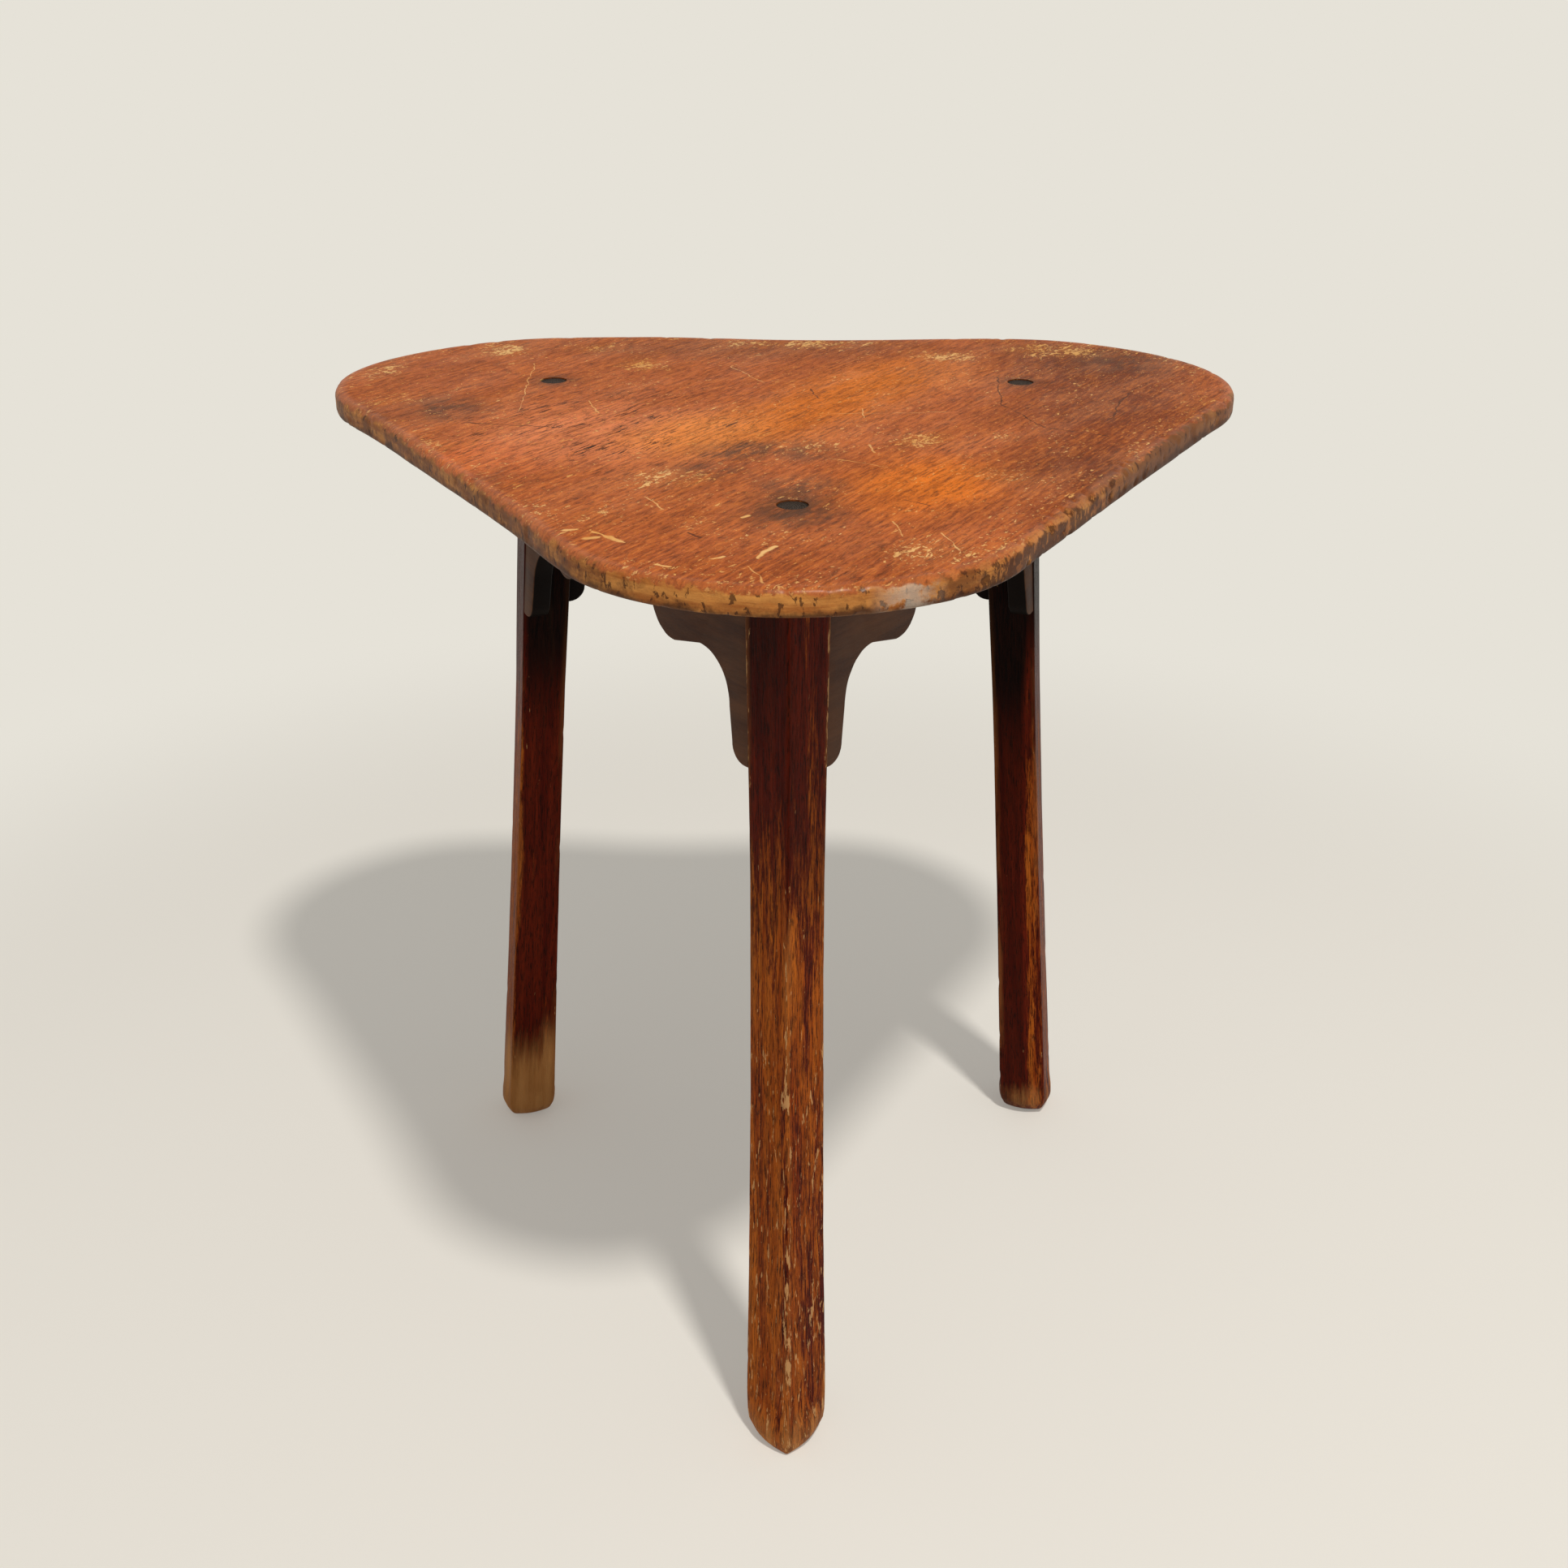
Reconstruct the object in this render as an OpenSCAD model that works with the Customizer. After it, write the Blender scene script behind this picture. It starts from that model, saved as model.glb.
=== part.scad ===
// Three-legged country table: a rounded triangular top on three splayed legs,
// each leg pegged through the top and stayed by two shaped brackets.
// Millimetres, +Z up. The origin is on the floor, under the middle of the top's bounding box.
// One leg stands at -Y, the other two at the back, left and right.

/* [Table top] */
// Height of the table from the floor to the top surface
table_h = 735; // [600:1:800]
// Thickness of the top
top_t = 18; // [13:0.5:28]
// Distance from the centre of the top to the line that touches two corners
top_in_r = 276; // [240:1:330]
// Depth of the hollow in the back side
top_back_hollow = 6; // [2:0.5:20]
// Depth of the hollow in the two front sides
top_front_hollow = 3; // [2:0.5:20]
// Radius of the three rounded corners of the top
top_corner_r = 161; // [110:1:200]
// Radius of the rounded upper edge of the top
top_upper_round = 6; // [2:0.5:8]
// Radius of the rounded lower edge of the top
top_lower_round = 3; // [1:0.5:5]

/* [Legs] */
// Distance from the centre of the leg ring to a leg's axis at the underside, as a ratio to top_in_r
leg_ring_ratio = 0.786; // [0.7:0.002:0.85]
// Distance that a leg's foot stands out past its top
leg_splay_out = 72; // [20:1:110]
// Shift of the leg ring from the centre of the top, to the right
leg_ring_x = -4; // [-10:1:10]
// Shift of the leg ring from the centre of the top, to the back
leg_ring_y = -3; // [-10:1:10]
// Side of the square leg at its top
leg_top_side = 42; // [39:0.5:50]
// Side of the square leg at its slimmest place
leg_waist_side = 37.5; // [34:0.5:42]
// Side of the square leg at its foot
leg_foot_side = 44; // [36:0.5:56]
// Distance down the leg from its top to its slimmest place
leg_waist_drop = 250; // [200:5:400]
// Height of the foot's straight part
leg_foot_h = 45; // [20:1:80]

/* [Brackets] */
// Reach of a bracket from its leg, along the top
bracket_arm = 119; // [100:1:130]
// Depth of a bracket's outer lobe, below the leg's top, at the front leg
bracket_front_lobe = 96; // [88:1:110]
// Depth of a bracket's outer lobe, below the leg's top, at the back legs
bracket_back_lobe = 105; // [88:1:115]
// Length of a bracket's tail down the leg, below its lobe
bracket_tail = 70; // [60:1:90]
// Thickness of a bracket
bracket_t = 16; // [14:0.5:20]
// Radius of the rounded nose at the outer end of a bracket
bracket_nose_r = 30; // [15:1:35]
// Rise of the lower edge between the lobe and the sweep
bracket_neck_rise = 5; // [0:0.5:8]
// Radius of the hollow sweep between the neck and the tail
bracket_sweep_r = 36; // [25:1:42]
// Width of the tail just below the sweep
bracket_tail_w = 21; // [16:0.5:26]
// Radius of the rounded end of the tail
bracket_tail_r = 15; // [8:0.5:20]
// Turn of a bracket from square to its leg's face, towards the next leg
bracket_swing_deg = 10; // [0:1:15]
// Distance from a leg's side corner to its bracket, along the leg's face
bracket_inset = 2.5; // [1.5:0.5:5]

/* [Pegs] */
// Diameter of the round pegs that hold the legs
peg_d = 21; // [16:0.5:23]
// Depth of a peg in its leg
peg_depth = 36; // [25:1:40]
// Depth of a peg's end below the top surface
peg_recess = 0.6; // [0.2:0.1:1.5]
// Place of the front peg from its leg's axis: outward, and round the ring
peg_front_at = [9.5, 2.5]; // [-12:0.5:12]
// Place of the back right peg from its leg's axis
peg_back_right_at = [8.5, -3]; // [-12:0.5:12]
// Place of the back left peg from its leg's axis
peg_back_left_at = [2, -9.5]; // [-12:0.5:12]

/* [Dowels] */
// Diameter of the hidden dowels of the brackets
dowel_d = 8; // [6:0.5:9]
// Depth of a dowel in the top
dowel_top_depth = 10; // [6:0.5:11]
// Depth of a dowel in its leg
dowel_leg_depth = 14; // [8:0.5:15]
// Depth of a dowel in its bracket
dowel_bracket_depth = 20; // [12:0.5:24]
// Distance of the first row of leg dowels below the leg's top
dowel_row_first = 52; // [46:1:60]
// Distance between the two rows of leg dowels
dowel_row_pitch = 22; // [18:0.5:24]
// Distance of the inner top dowel from the leg's face
dowel_arm_first = 35; // [25:1:50]
// Distance between the two top dowels of a bracket
dowel_arm_pitch = 52; // [30:1:70]

/* [Fits] */
// Clearance between a bracket's end and its leg
glue_gap = 0.1; // [0.05:0.05:0.3]
// Clearance between a peg or dowel and its bore, all round
pin_fit = 0.1; // [0.05:0.05:0.25]
// Clearance at the blind end of a bore
pin_end_gap = 0.5; // [0.2:0.1:1]

/* [Hidden] */
$fn = 64;

wood_top = "#a5562c";
wood_leg = "#4a2318";
wood_bracket = "#3b241c";
wood_pin = "#3c322b";

// Directions of the three legs, seen from above
FRONT = 0;
BACK_RIGHT = 1;
BACK_LEFT = 2;
leg_dir = [-90, 30, 150];
LEGS = [FRONT, BACK_RIGHT, BACK_LEFT];
// Sides of a leg: the bracket that points round the table anticlockwise, and the other one
SIDES = [1, -1];
ROWS = [0, 1];

// The top: corner centres, and the centre of the triangle, whose box is centred on the origin
// A corner or a rounded edge runs a hair past the faces that it joins, and meets them in a faint line
// The corners are worn a little rounder than the sides
corner_past = 0.5;
edge_past = 0.05;
corner_wear = corner_past / 2;
corner_r = top_corner_r + corner_past;
corner_reach = 2 * (top_in_r - top_corner_r);
top_y = corner_reach / 4;
side_len = sqrt(3) * corner_reach;
middle_r = norm([top_in_r, side_len / 2 - top_upper_round]);
// Depth and radius of the hollow in the side that follows a leg: its long arc just touches the two corners
function hollow(k) = k == BACK_RIGHT ? top_back_hollow : top_front_hollow;
side_fn = 720;
function hollow_r(k) = (side_len * side_len / 4 + hollow(k) * hollow(k)) / (2 * hollow(k)) - top_corner_r;
underside = table_h - top_t;

// The legs: ring, splay, length and the half side at a distance q below the leg's top
leg_top_r = leg_ring_ratio * top_in_r;
splay = atan(leg_splay_out / underside);
leg_len = underside / cos(splay);
leg_spare = 40;
foot_start = leg_len - leg_foot_h;
flare_steps = 8;
flare_power = 1.8;
function taper(q) = leg_top_side / 2 + (leg_waist_side - leg_top_side) / 2 * q / leg_waist_drop;
function flare(f) = leg_waist_side / 2 + (leg_foot_side - leg_waist_side) / 2 * pow(f, flare_power);
function leg_outline() = concat(
    [[taper(-leg_spare), leg_spare]],
    [for (i = [0 : flare_steps])
        let (f = i / flare_steps)
        [flare(f), -leg_waist_drop - f * (foot_start - leg_waist_drop)]],
    [[leg_foot_side / 2, -leg_len - leg_spare]]
);

// The brackets: direction in the leg's frame, root inside the leg, and where the tail ends
bracket_az = 135 + bracket_swing_deg;
root_spare = 1;
bracket_root = (leg_top_side - leg_waist_side) / 2 + glue_gap + root_spare;
tail_slope = 3;
function lobe(k) = k == FRONT ? bracket_front_lobe : bracket_back_lobe;

// Height of the underside of the top in a leg's tilted frame, at a distance x outward
function underside_at(x) = -x * tan(splay);

// Centres of the pegs in their legs' frames, and a length of peg that is sure to pass the top
peg_xy = [peg_front_at, peg_back_right_at, peg_back_left_at];
peg_spare = 3 * top_t;

// A point of a bracket in its leg's frame: reach e from the leg, at mid thickness
function bracket_xy(e) =
    [0, leg_top_side / sqrt(2)]
    + bracket_inset * [-1, -1] / sqrt(2)
    + e * [cos(bracket_az), sin(bracket_az)]
    + bracket_t / 2 * [-sin(bracket_az), cos(bracket_az)];

// The arc of a circle as points, from one angle to another
arc_steps = 10;
function arc(c, r, from, to) =
    [for (i = [0 : arc_steps]) let (a = from + (to - from) * i / arc_steps) c + r * [cos(a), sin(a)]];

// A leg's frame: origin where the leg's axis meets the underside, +X outward, +Z up the leg
module at_leg(k) {
    translate([leg_ring_x, top_y + leg_ring_y, underside])
        rotate(leg_dir[k])
        translate([leg_top_r, 0, 0])
        rotate([0, -splay, 0])
        children();
}

// One side of a leg, as drawn or mirrored
module on_side(s) {
    if (s > 0) children();
    else mirror([0, 1, 0]) children();
}

// All that lies between the floor and a height
module below(z) {
    span = 2 * table_h;
    translate([-span / 2, -span / 2, 0]) cube([span, span, z]);
}

// What the rounding takes off an edge at x = 0: a square less a quarter circle
module edge_waste(r) {
    over = 1;
    translate([-r, -r]) difference() {
        square(r + over);
        circle(r + edge_past);
    }
}

// Section of the top from x = 0 to an edge with its upper and lower rounding
module edge_section(reach, wear = 0) {
    difference() {
        square([reach, top_t]);
        translate([reach, top_t]) edge_waste(top_upper_round + wear);
        translate([reach, 0]) mirror([0, 1]) edge_waste(top_lower_round + wear);
    }
}

// All that lies within the hollow side that follows a leg, and its rounded edge
module within_side(k) {
    far = 3 * top_in_r;
    rotate(leg_dir[k] + 60) translate([top_in_r - hollow(k) + hollow_r(k), 0, 0])
        rotate_extrude($fn = side_fn) translate([hollow_r(k) + far, 0]) mirror([1, 0]) edge_section(far);
}

// The board: a middle and three round corners, cut to the hollow sides
module board() {
    intersection() {
        within_side(FRONT);
        within_side(BACK_RIGHT);
        within_side(BACK_LEFT);
        union() {
            cylinder(r = middle_r, h = top_t);
            for (k = LEGS) rotate(leg_dir[k]) translate([corner_reach, 0, 0])
                rotate_extrude() edge_section(corner_r, corner_wear);
        }
    }
}

// A leg before its ends are cut: a square bar with the leg's outline on both pairs of faces
module leg_blank(grow = 0) {
    rotate(45) intersection() {
        leg_slab(grow);
        rotate(90) leg_slab(grow);
    }
}

// A leg's outline as a slab, thick enough for the whole leg
module leg_slab(grow) {
    wide = 2 * leg_foot_side + 2 * leg_top_side;
    half = [for (p = leg_outline()) p + [grow, 0]];
    other = [for (i = [len(half) - 1 : -1 : 0]) [-half[i][0], half[i][1]]];
    translate([0, wide / 2, 0]) rotate([90, 0, 0]) linear_extrude(wide) polygon(concat(half, other));
}

// The bore or body of a peg, in its leg's frame
module peg_shape(k, d, depth) {
    translate(concat(peg_xy[k], [-depth])) cylinder(d = d, h = depth + peg_spare);
}

// The two dowels between a bracket and its leg: width d, lengthened at both ends by extra
module leg_dowel_pair(d, extra) {
    for (i = ROWS)
        translate(concat(bracket_xy(0), [-dowel_row_first - i * dowel_row_pitch]))
            rotate(bracket_az) rotate([0, 90, 0])
            translate([0, 0, -dowel_leg_depth - extra])
            cylinder(d = d, h = dowel_leg_depth + dowel_bracket_depth + 2 * extra);
}

// The two dowels between a bracket and the top
module top_dowel_pair(d, extra) {
    for (i = ROWS) {
        xy = bracket_xy(dowel_arm_first + i * dowel_arm_pitch);
        translate(concat(xy, [underside_at(xy[0]) - dowel_bracket_depth - extra]))
            cylinder(d = d, h = dowel_bracket_depth + dowel_top_depth + 2 * extra);
    }
}

// Side view of a bracket: reach along x, height along y, with y = 0 at the leg's top
module bracket_outline(lobe_drop) {
    neck = -lobe_drop + bracket_neck_rise;
    sweep_c = [bracket_tail_w + bracket_sweep_r, neck - bracket_sweep_r];
    tail_end = -lobe_drop - bracket_tail;
    tail_c = [bracket_tail_w - tail_slope - bracket_tail_r, tail_end + bracket_tail_r];
    above = 2 * bracket_arm * tan(splay);
    polygon(concat(
        [[-bracket_root, tail_end], [-bracket_root, above], [bracket_arm, above]],
        arc([bracket_arm - bracket_nose_r, -lobe_drop + bracket_nose_r], bracket_nose_r, 0, -90),
        arc(sweep_c, bracket_sweep_r, 90, 180),
        arc(tail_c, bracket_tail_r, 0, -90)
    ));
}

module table_top() {
    color(wood_top) difference() {
        translate([0, top_y, underside]) board();
        for (k = LEGS) at_leg(k) {
            peg_shape(k, peg_d + 2 * pin_fit, peg_depth);
            for (s = SIDES) on_side(s) top_dowel_pair(dowel_d + 2 * pin_fit, pin_end_gap);
        }
    }
}

module leg(k) {
    color(wood_leg) difference() {
        intersection() {
            at_leg(k) leg_blank();
            below(underside);
        }
        at_leg(k) {
            peg_shape(k, peg_d + 2 * pin_fit, peg_depth + pin_end_gap);
            for (s = SIDES) on_side(s) leg_dowel_pair(dowel_d + 2 * pin_fit, pin_end_gap);
        }
    }
}

module bracket(k, s) {
    color(wood_bracket) difference() {
        intersection() {
            at_leg(k) on_side(s)
                translate(concat(bracket_xy(0), [0])) rotate(bracket_az)
                translate([0, bracket_t / 2, 0]) rotate([90, 0, 0])
                linear_extrude(bracket_t) bracket_outline(lobe(k));
            below(underside);
        }
        at_leg(k) {
            leg_blank(glue_gap);
            on_side(s) {
                leg_dowel_pair(dowel_d + 2 * pin_fit, pin_end_gap);
                top_dowel_pair(dowel_d + 2 * pin_fit, pin_end_gap);
            }
        }
    }
}

module peg(k) {
    color(wood_pin) intersection() {
        at_leg(k) peg_shape(k, peg_d, peg_depth);
        below(table_h - peg_recess);
    }
}

module bracket_top_dowels() {
    color(wood_pin) for (k = LEGS, s = SIDES) at_leg(k) on_side(s) top_dowel_pair(dowel_d, 0);
}

module bracket_leg_dowels() {
    color(wood_pin) for (k = LEGS, s = SIDES) at_leg(k) on_side(s) leg_dowel_pair(dowel_d, 0);
}

table_top();
leg(FRONT);  // leg_front
leg(BACK_RIGHT);  // leg_back_right
leg(BACK_LEFT);  // leg_back_left
bracket(FRONT, 1);  // bracket_front_right
bracket(FRONT, -1);  // bracket_front_left
bracket(BACK_RIGHT, 1);  // bracket_right_back
bracket(BACK_RIGHT, -1);  // bracket_right_front
bracket(BACK_LEFT, 1);  // bracket_left_front
bracket(BACK_LEFT, -1);  // bracket_left_back
peg(FRONT);  // peg_front
peg(BACK_RIGHT);  // peg_back_right
peg(BACK_LEFT);  // peg_back_left
bracket_top_dowels();
bracket_leg_dowels();
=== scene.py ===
import math

import bmesh
import bpy
from mathutils import Matrix, Vector, noise


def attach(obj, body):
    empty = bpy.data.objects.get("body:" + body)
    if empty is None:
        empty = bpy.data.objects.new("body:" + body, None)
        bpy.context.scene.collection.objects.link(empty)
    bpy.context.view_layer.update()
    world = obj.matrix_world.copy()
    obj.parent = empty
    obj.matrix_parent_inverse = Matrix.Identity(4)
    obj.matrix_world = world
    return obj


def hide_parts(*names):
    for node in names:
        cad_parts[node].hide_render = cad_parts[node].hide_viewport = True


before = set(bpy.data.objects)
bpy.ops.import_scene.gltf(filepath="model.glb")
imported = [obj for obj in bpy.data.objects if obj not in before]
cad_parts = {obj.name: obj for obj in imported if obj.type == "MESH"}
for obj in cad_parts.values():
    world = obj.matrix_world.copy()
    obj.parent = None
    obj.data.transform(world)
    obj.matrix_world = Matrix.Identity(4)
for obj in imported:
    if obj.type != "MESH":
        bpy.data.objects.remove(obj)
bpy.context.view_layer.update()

# Sizes of the table in metres, as the solids have them
MM = 0.001
TABLE_HEIGHT = 735 * MM
TOP_THICKNESS = 18 * MM
UNDERSIDE = TABLE_HEIGHT - TOP_THICKNESS
SIDE_REACH = 276 * MM
CORNER_RADIUS = 161 * MM
CORNER_REACH = 2 * (SIDE_REACH - CORNER_RADIUS)
SIDE_LENGTH = math.sqrt(3) * CORNER_REACH
TOP_MIDDLE = Vector((0, CORNER_REACH / 4, UNDERSIDE))
UPPER_ROUND = 6 * MM
LOWER_ROUND = 3 * MM

LEG_TURN = {"front": -90, "back_right": 30, "back_left": 150}
SIDE_HOLLOW = {"front": 3 * MM, "back_right": 6 * MM, "back_left": 3 * MM}
LEG_RING = Vector((-4 * MM, CORNER_REACH / 4 - 3 * MM, UNDERSIDE))
LEG_TOP_REACH = 0.786 * SIDE_REACH
LEG_SPLAY = math.atan(72 * MM / UNDERSIDE)
LEG_LENGTH = UNDERSIDE / math.cos(LEG_SPLAY)
LEG_TOP_HALF = 21 * MM
LEG_WAIST_HALF = 18.75 * MM
LEG_FOOT_HALF = 22 * MM
LEG_WAIST_DROP = 250 * MM
LEG_FOOT_HEIGHT = 45 * MM
LEG_FLARE_POWER = 1.8

BRACKET_ARM = 119 * MM
BRACKET_LOBE = {"front": 96 * MM, "back_right": 105 * MM, "back_left": 105 * MM}
BRACKET_TAIL = 70 * MM
BRACKET_THICKNESS = 16 * MM
BRACKET_NOSE_RADIUS = 30 * MM
BRACKET_NECK_RISE = 5 * MM
BRACKET_SWEEP_RADIUS = 36 * MM
BRACKET_TAIL_WIDTH = 21 * MM
BRACKET_TAIL_SLOPE = 3 * MM
BRACKET_TAIL_RADIUS = 15 * MM
BRACKET_TURN = math.radians(145)
BRACKET_INSET = 2.5 * MM
BRACKETS = {
    "bracket_front_right": ("front", 1),
    "bracket_front_left": ("front", -1),
    "bracket_right_back": ("back_right", 1),
    "bracket_right_front": ("back_right", -1),
    "bracket_left_front": ("back_left", 1),
    "bracket_left_back": ("back_left", -1),
}

PEG_RADIUS = 10.5 * MM
PEG_DEPTH = 36 * MM
PEG_RECESS = 0.6 * MM
PEG_PLACE = {
    "front": Vector((9.5 * MM, 2.5 * MM, 0)),
    "back_right": Vector((8.5 * MM, -3 * MM, 0)),
    "back_left": Vector((2 * MM, -9.5 * MM, 0)),
}
FIT = 0.1 * MM

# How near a cutting plane a corner counts as on it, and how near points are joined
CUT_SLACK = 0.001 * MM
CHAIN_WELD = 0.2 * MM
CUT_WELD = 0.005 * MM
UP = Vector((0, 0, 1))


# Small helpers for the meshes


def heading(degrees):
    return Vector((math.cos(math.radians(degrees)), math.sin(math.radians(degrees)), 0))


def smooth_step(low, high, value):
    t = min(1.0, max(0.0, (value - low) / (high - low)))
    return t * t * (3 - 2 * t)


def rough(point, size, seed):
    """Even noise from -1 to 1 whose lumps are about the given size."""
    return noise.noise(point / size + Vector((seed, 2 * seed, 3 * seed)))


def leg_frame(leg):
    """Origin where the leg's axis meets the underside of the top, +X outward, +Z up the leg."""
    return (
        Matrix.Translation(LEG_RING)
        @ Matrix.Rotation(math.radians(LEG_TURN[leg]), 4, "Z")
        @ Matrix.Translation((LEG_TOP_REACH, 0, 0))
        @ Matrix.Rotation(-LEG_SPLAY, 4, "Y")
    )


def arc_on(bm, end, centre, degrees, spacing, axis=UP):
    """Carries a chain of edges on round a centre and returns its new end."""
    steps = max(3, round(math.radians(abs(degrees)) * (end.co - centre).length / spacing))
    swept = bmesh.ops.spin(
        bm, geom=[end], cent=centre, axis=axis, angle=math.radians(degrees), steps=steps
    )
    return swept["geom_last"][0]


def line_on(bm, end, point):
    """Carries a chain of edges on to a point and returns its new end."""
    grown = bmesh.ops.extrude_vert_indiv(bm, verts=[end])
    grown["verts"][0].co = point
    return grown["verts"][0]


def close_chain(bm):
    """Joins the ends of a chain of edges and fills it with one face."""
    bmesh.ops.remove_doubles(bm, verts=bm.verts[:], dist=CHAIN_WELD)
    return bmesh.ops.contextual_create(bm, geom=bm.edges[:])["faces"][0]


def raise_face(bm, face, rise):
    """Extrudes the only face of a sheet to a block and returns the far face."""
    grown = bmesh.ops.extrude_face_region(bm, geom=[face])
    bmesh.ops.translate(
        bm, verts=[g for g in grown["geom"] if isinstance(g, bmesh.types.BMVert)], vec=rise
    )
    bmesh.ops.recalc_face_normals(bm, faces=bm.faces[:])
    return next(g for g in grown["geom"] if isinstance(g, bmesh.types.BMFace))


def round_edges(bm, edges, radius, segments):
    return bmesh.ops.bevel(
        bm, geom=edges, offset=radius, segments=segments, profile=0.5, affect="EDGES",
        material=-1, clamp_overlap=False,
    )


def everything(bm):
    return bm.verts[:] + bm.edges[:] + bm.faces[:]


def cut_away(bm, point, normal):
    """Cuts off all that lies past a plane, on the side its normal points to, and closes the cut."""
    cut = bmesh.ops.bisect_plane(
        bm, geom=everything(bm), dist=CUT_SLACK, plane_co=point, plane_no=normal, clear_outer=True
    )
    rim = [g for g in cut["geom_cut"] if isinstance(g, bmesh.types.BMEdge)]
    return bmesh.ops.contextual_create(bm, geom=rim)["faces"][0]


def as_object(name, bm):
    mesh = bpy.data.meshes.new(name)
    bm.to_mesh(mesh)
    bm.free()
    made = bpy.data.objects.new(name, mesh)
    bpy.context.scene.collection.objects.link(made)
    return made


def bored(piece, cutters):
    """Cuts the bores of the pegs out of a piece."""
    for cutter in cutters:
        bore = piece.modifiers.new("bore", "BOOLEAN")
        bore.object = cutter
        bore.solver = "EXACT"
    cut = bpy.data.meshes.new_from_object(
        piece.evaluated_get(bpy.context.evaluated_depsgraph_get())
    )
    piece.modifiers.clear()
    piece.data = cut


def dressed(piece, node, slot):
    """Gives a finished mesh its material and shading, and puts it in the CAD node's place."""
    piece.data.materials.clear()
    piece.data.materials.append(MATERIALS[slot])
    piece.data.shade_smooth()
    piece.data.set_sharp_from_angle(angle=math.radians(SHARP_DEGREES[slot]))
    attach(piece, "root")
    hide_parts(node)


# Small helpers for the shaders


def shade(red, green, blue):
    """A screen colour, 0 to 255, as the linear colour that a shader takes."""
    def linear(c):
        c = c / 255
        return c / 12.92 if c <= 0.04045 else ((c + 0.055) / 1.055) ** 2.4
    return (linear(red), linear(green), linear(blue), 1.0)


class Shader:
    """Adds nodes to a shader tree. Each call takes plain values or sockets and gives back a socket."""

    def __init__(self, tree):
        self.tree = tree

    def node(self, kind, **settings):
        made = self.tree.nodes.new("ShaderNode" + kind)
        for name, value in settings.items():
            setattr(made, name, value)
        return made

    def feed(self, socket, value):
        if isinstance(value, bpy.types.NodeSocket):
            self.tree.links.new(value, socket)
        else:
            socket.default_value = value

    def fill(self, node, values):
        """Feeds several inputs of a node by their names."""
        for name, value in values.items():
            self.feed(node.inputs[name], value)

    def math(self, operation, a, b=0.0, clamp=False):
        made = self.node("Math", operation=operation, use_clamp=clamp)
        self.feed(made.inputs[0], a)
        self.feed(made.inputs[1], b)
        return made.outputs[0]

    def times(self, a, b):
        return self.math("MULTIPLY", a, b)

    def plus(self, a, b, clamp=False):
        return self.math("ADD", a, b, clamp)

    def less(self, a, b):
        return self.math("SUBTRACT", a, b)

    def most(self, a, b):
        return self.math("MAXIMUM", a, b)

    def vector(self, operation, a, b=(0, 0, 0)):
        made = self.node("VectorMath", operation=operation)
        self.feed(made.inputs[0], a)
        self.feed(made.inputs[1], b)
        return made.outputs["Value" if operation in ("LENGTH", "DOT_PRODUCT") else "Vector"]

    def stretched(self, vector, factors):
        return self.vector("MULTIPLY", vector, factors)

    def scaled(self, vector, factor):
        made = self.node("VectorMath", operation="SCALE")
        self.feed(made.inputs[0], vector)
        self.feed(made.inputs["Scale"], factor)
        return made.outputs["Vector"]

    def mix(self, factor, a, b):
        made = self.node("Mix", data_type="RGBA")
        self.feed(made.inputs[0], factor)
        self.feed(made.inputs[6], a)
        self.feed(made.inputs[7], b)
        return made.outputs[2]

    def fade(self, value, low, high, to_low=0.0, to_high=1.0):
        made = self.node("MapRange", interpolation_type="SMOOTHSTEP")
        for socket, v in zip(made.inputs, (value, low, high, to_low, to_high)):
            self.feed(socket, v)
        return made.outputs[0]

    def noise(self, vector, scale, detail=2.0, roughness=0.5, distortion=0.0, output="Fac"):
        made = self.node("TexNoise")
        self.fill(made, {
            "Vector": vector, "Scale": scale, "Detail": detail, "Roughness": roughness,
            "Distortion": distortion,
        })
        return made.outputs[output]

    def attribute(self, name, output="Fac"):
        return self.node("Attribute", attribute_name=name).outputs[output]

    def object_place(self):
        return self.node("TexCoord").outputs["Object"]

    def group(self, tree, **values):
        made = self.node("Group", node_tree=tree)
        self.fill(made, values)
        return made.outputs

    def bump(self, look, relief, strength, distance):
        """Gives a Principled shader a fine relief."""
        made = self.node("Bump")
        self.fill(made, {"Strength": strength, "Distance": distance, "Height": relief})
        self.feed(look.inputs["Normal"], made.outputs["Normal"])


def new_group(name, inputs, outputs):
    """An empty shader group with named sockets, and its two end nodes."""
    kinds = {"value": "NodeSocketFloat", "vector": "NodeSocketVector"}
    tree = bpy.data.node_groups.new(name, "ShaderNodeTree")
    for socket, kind in inputs.items():
        tree.interface.new_socket(socket, in_out="INPUT", socket_type=kinds[kind])
    for socket in outputs:
        tree.interface.new_socket(socket, in_out="OUTPUT", socket_type="NodeSocketFloat")
    return tree, tree.nodes.new("NodeGroupInput").outputs, tree.nodes.new("NodeGroupOutput").inputs


def new_material(name):
    """An empty material with its Principled shader."""
    material = bpy.data.materials.new(name)
    material.use_nodes = True
    return material, Shader(material.node_tree), material.node_tree.nodes["Principled BSDF"]


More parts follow.
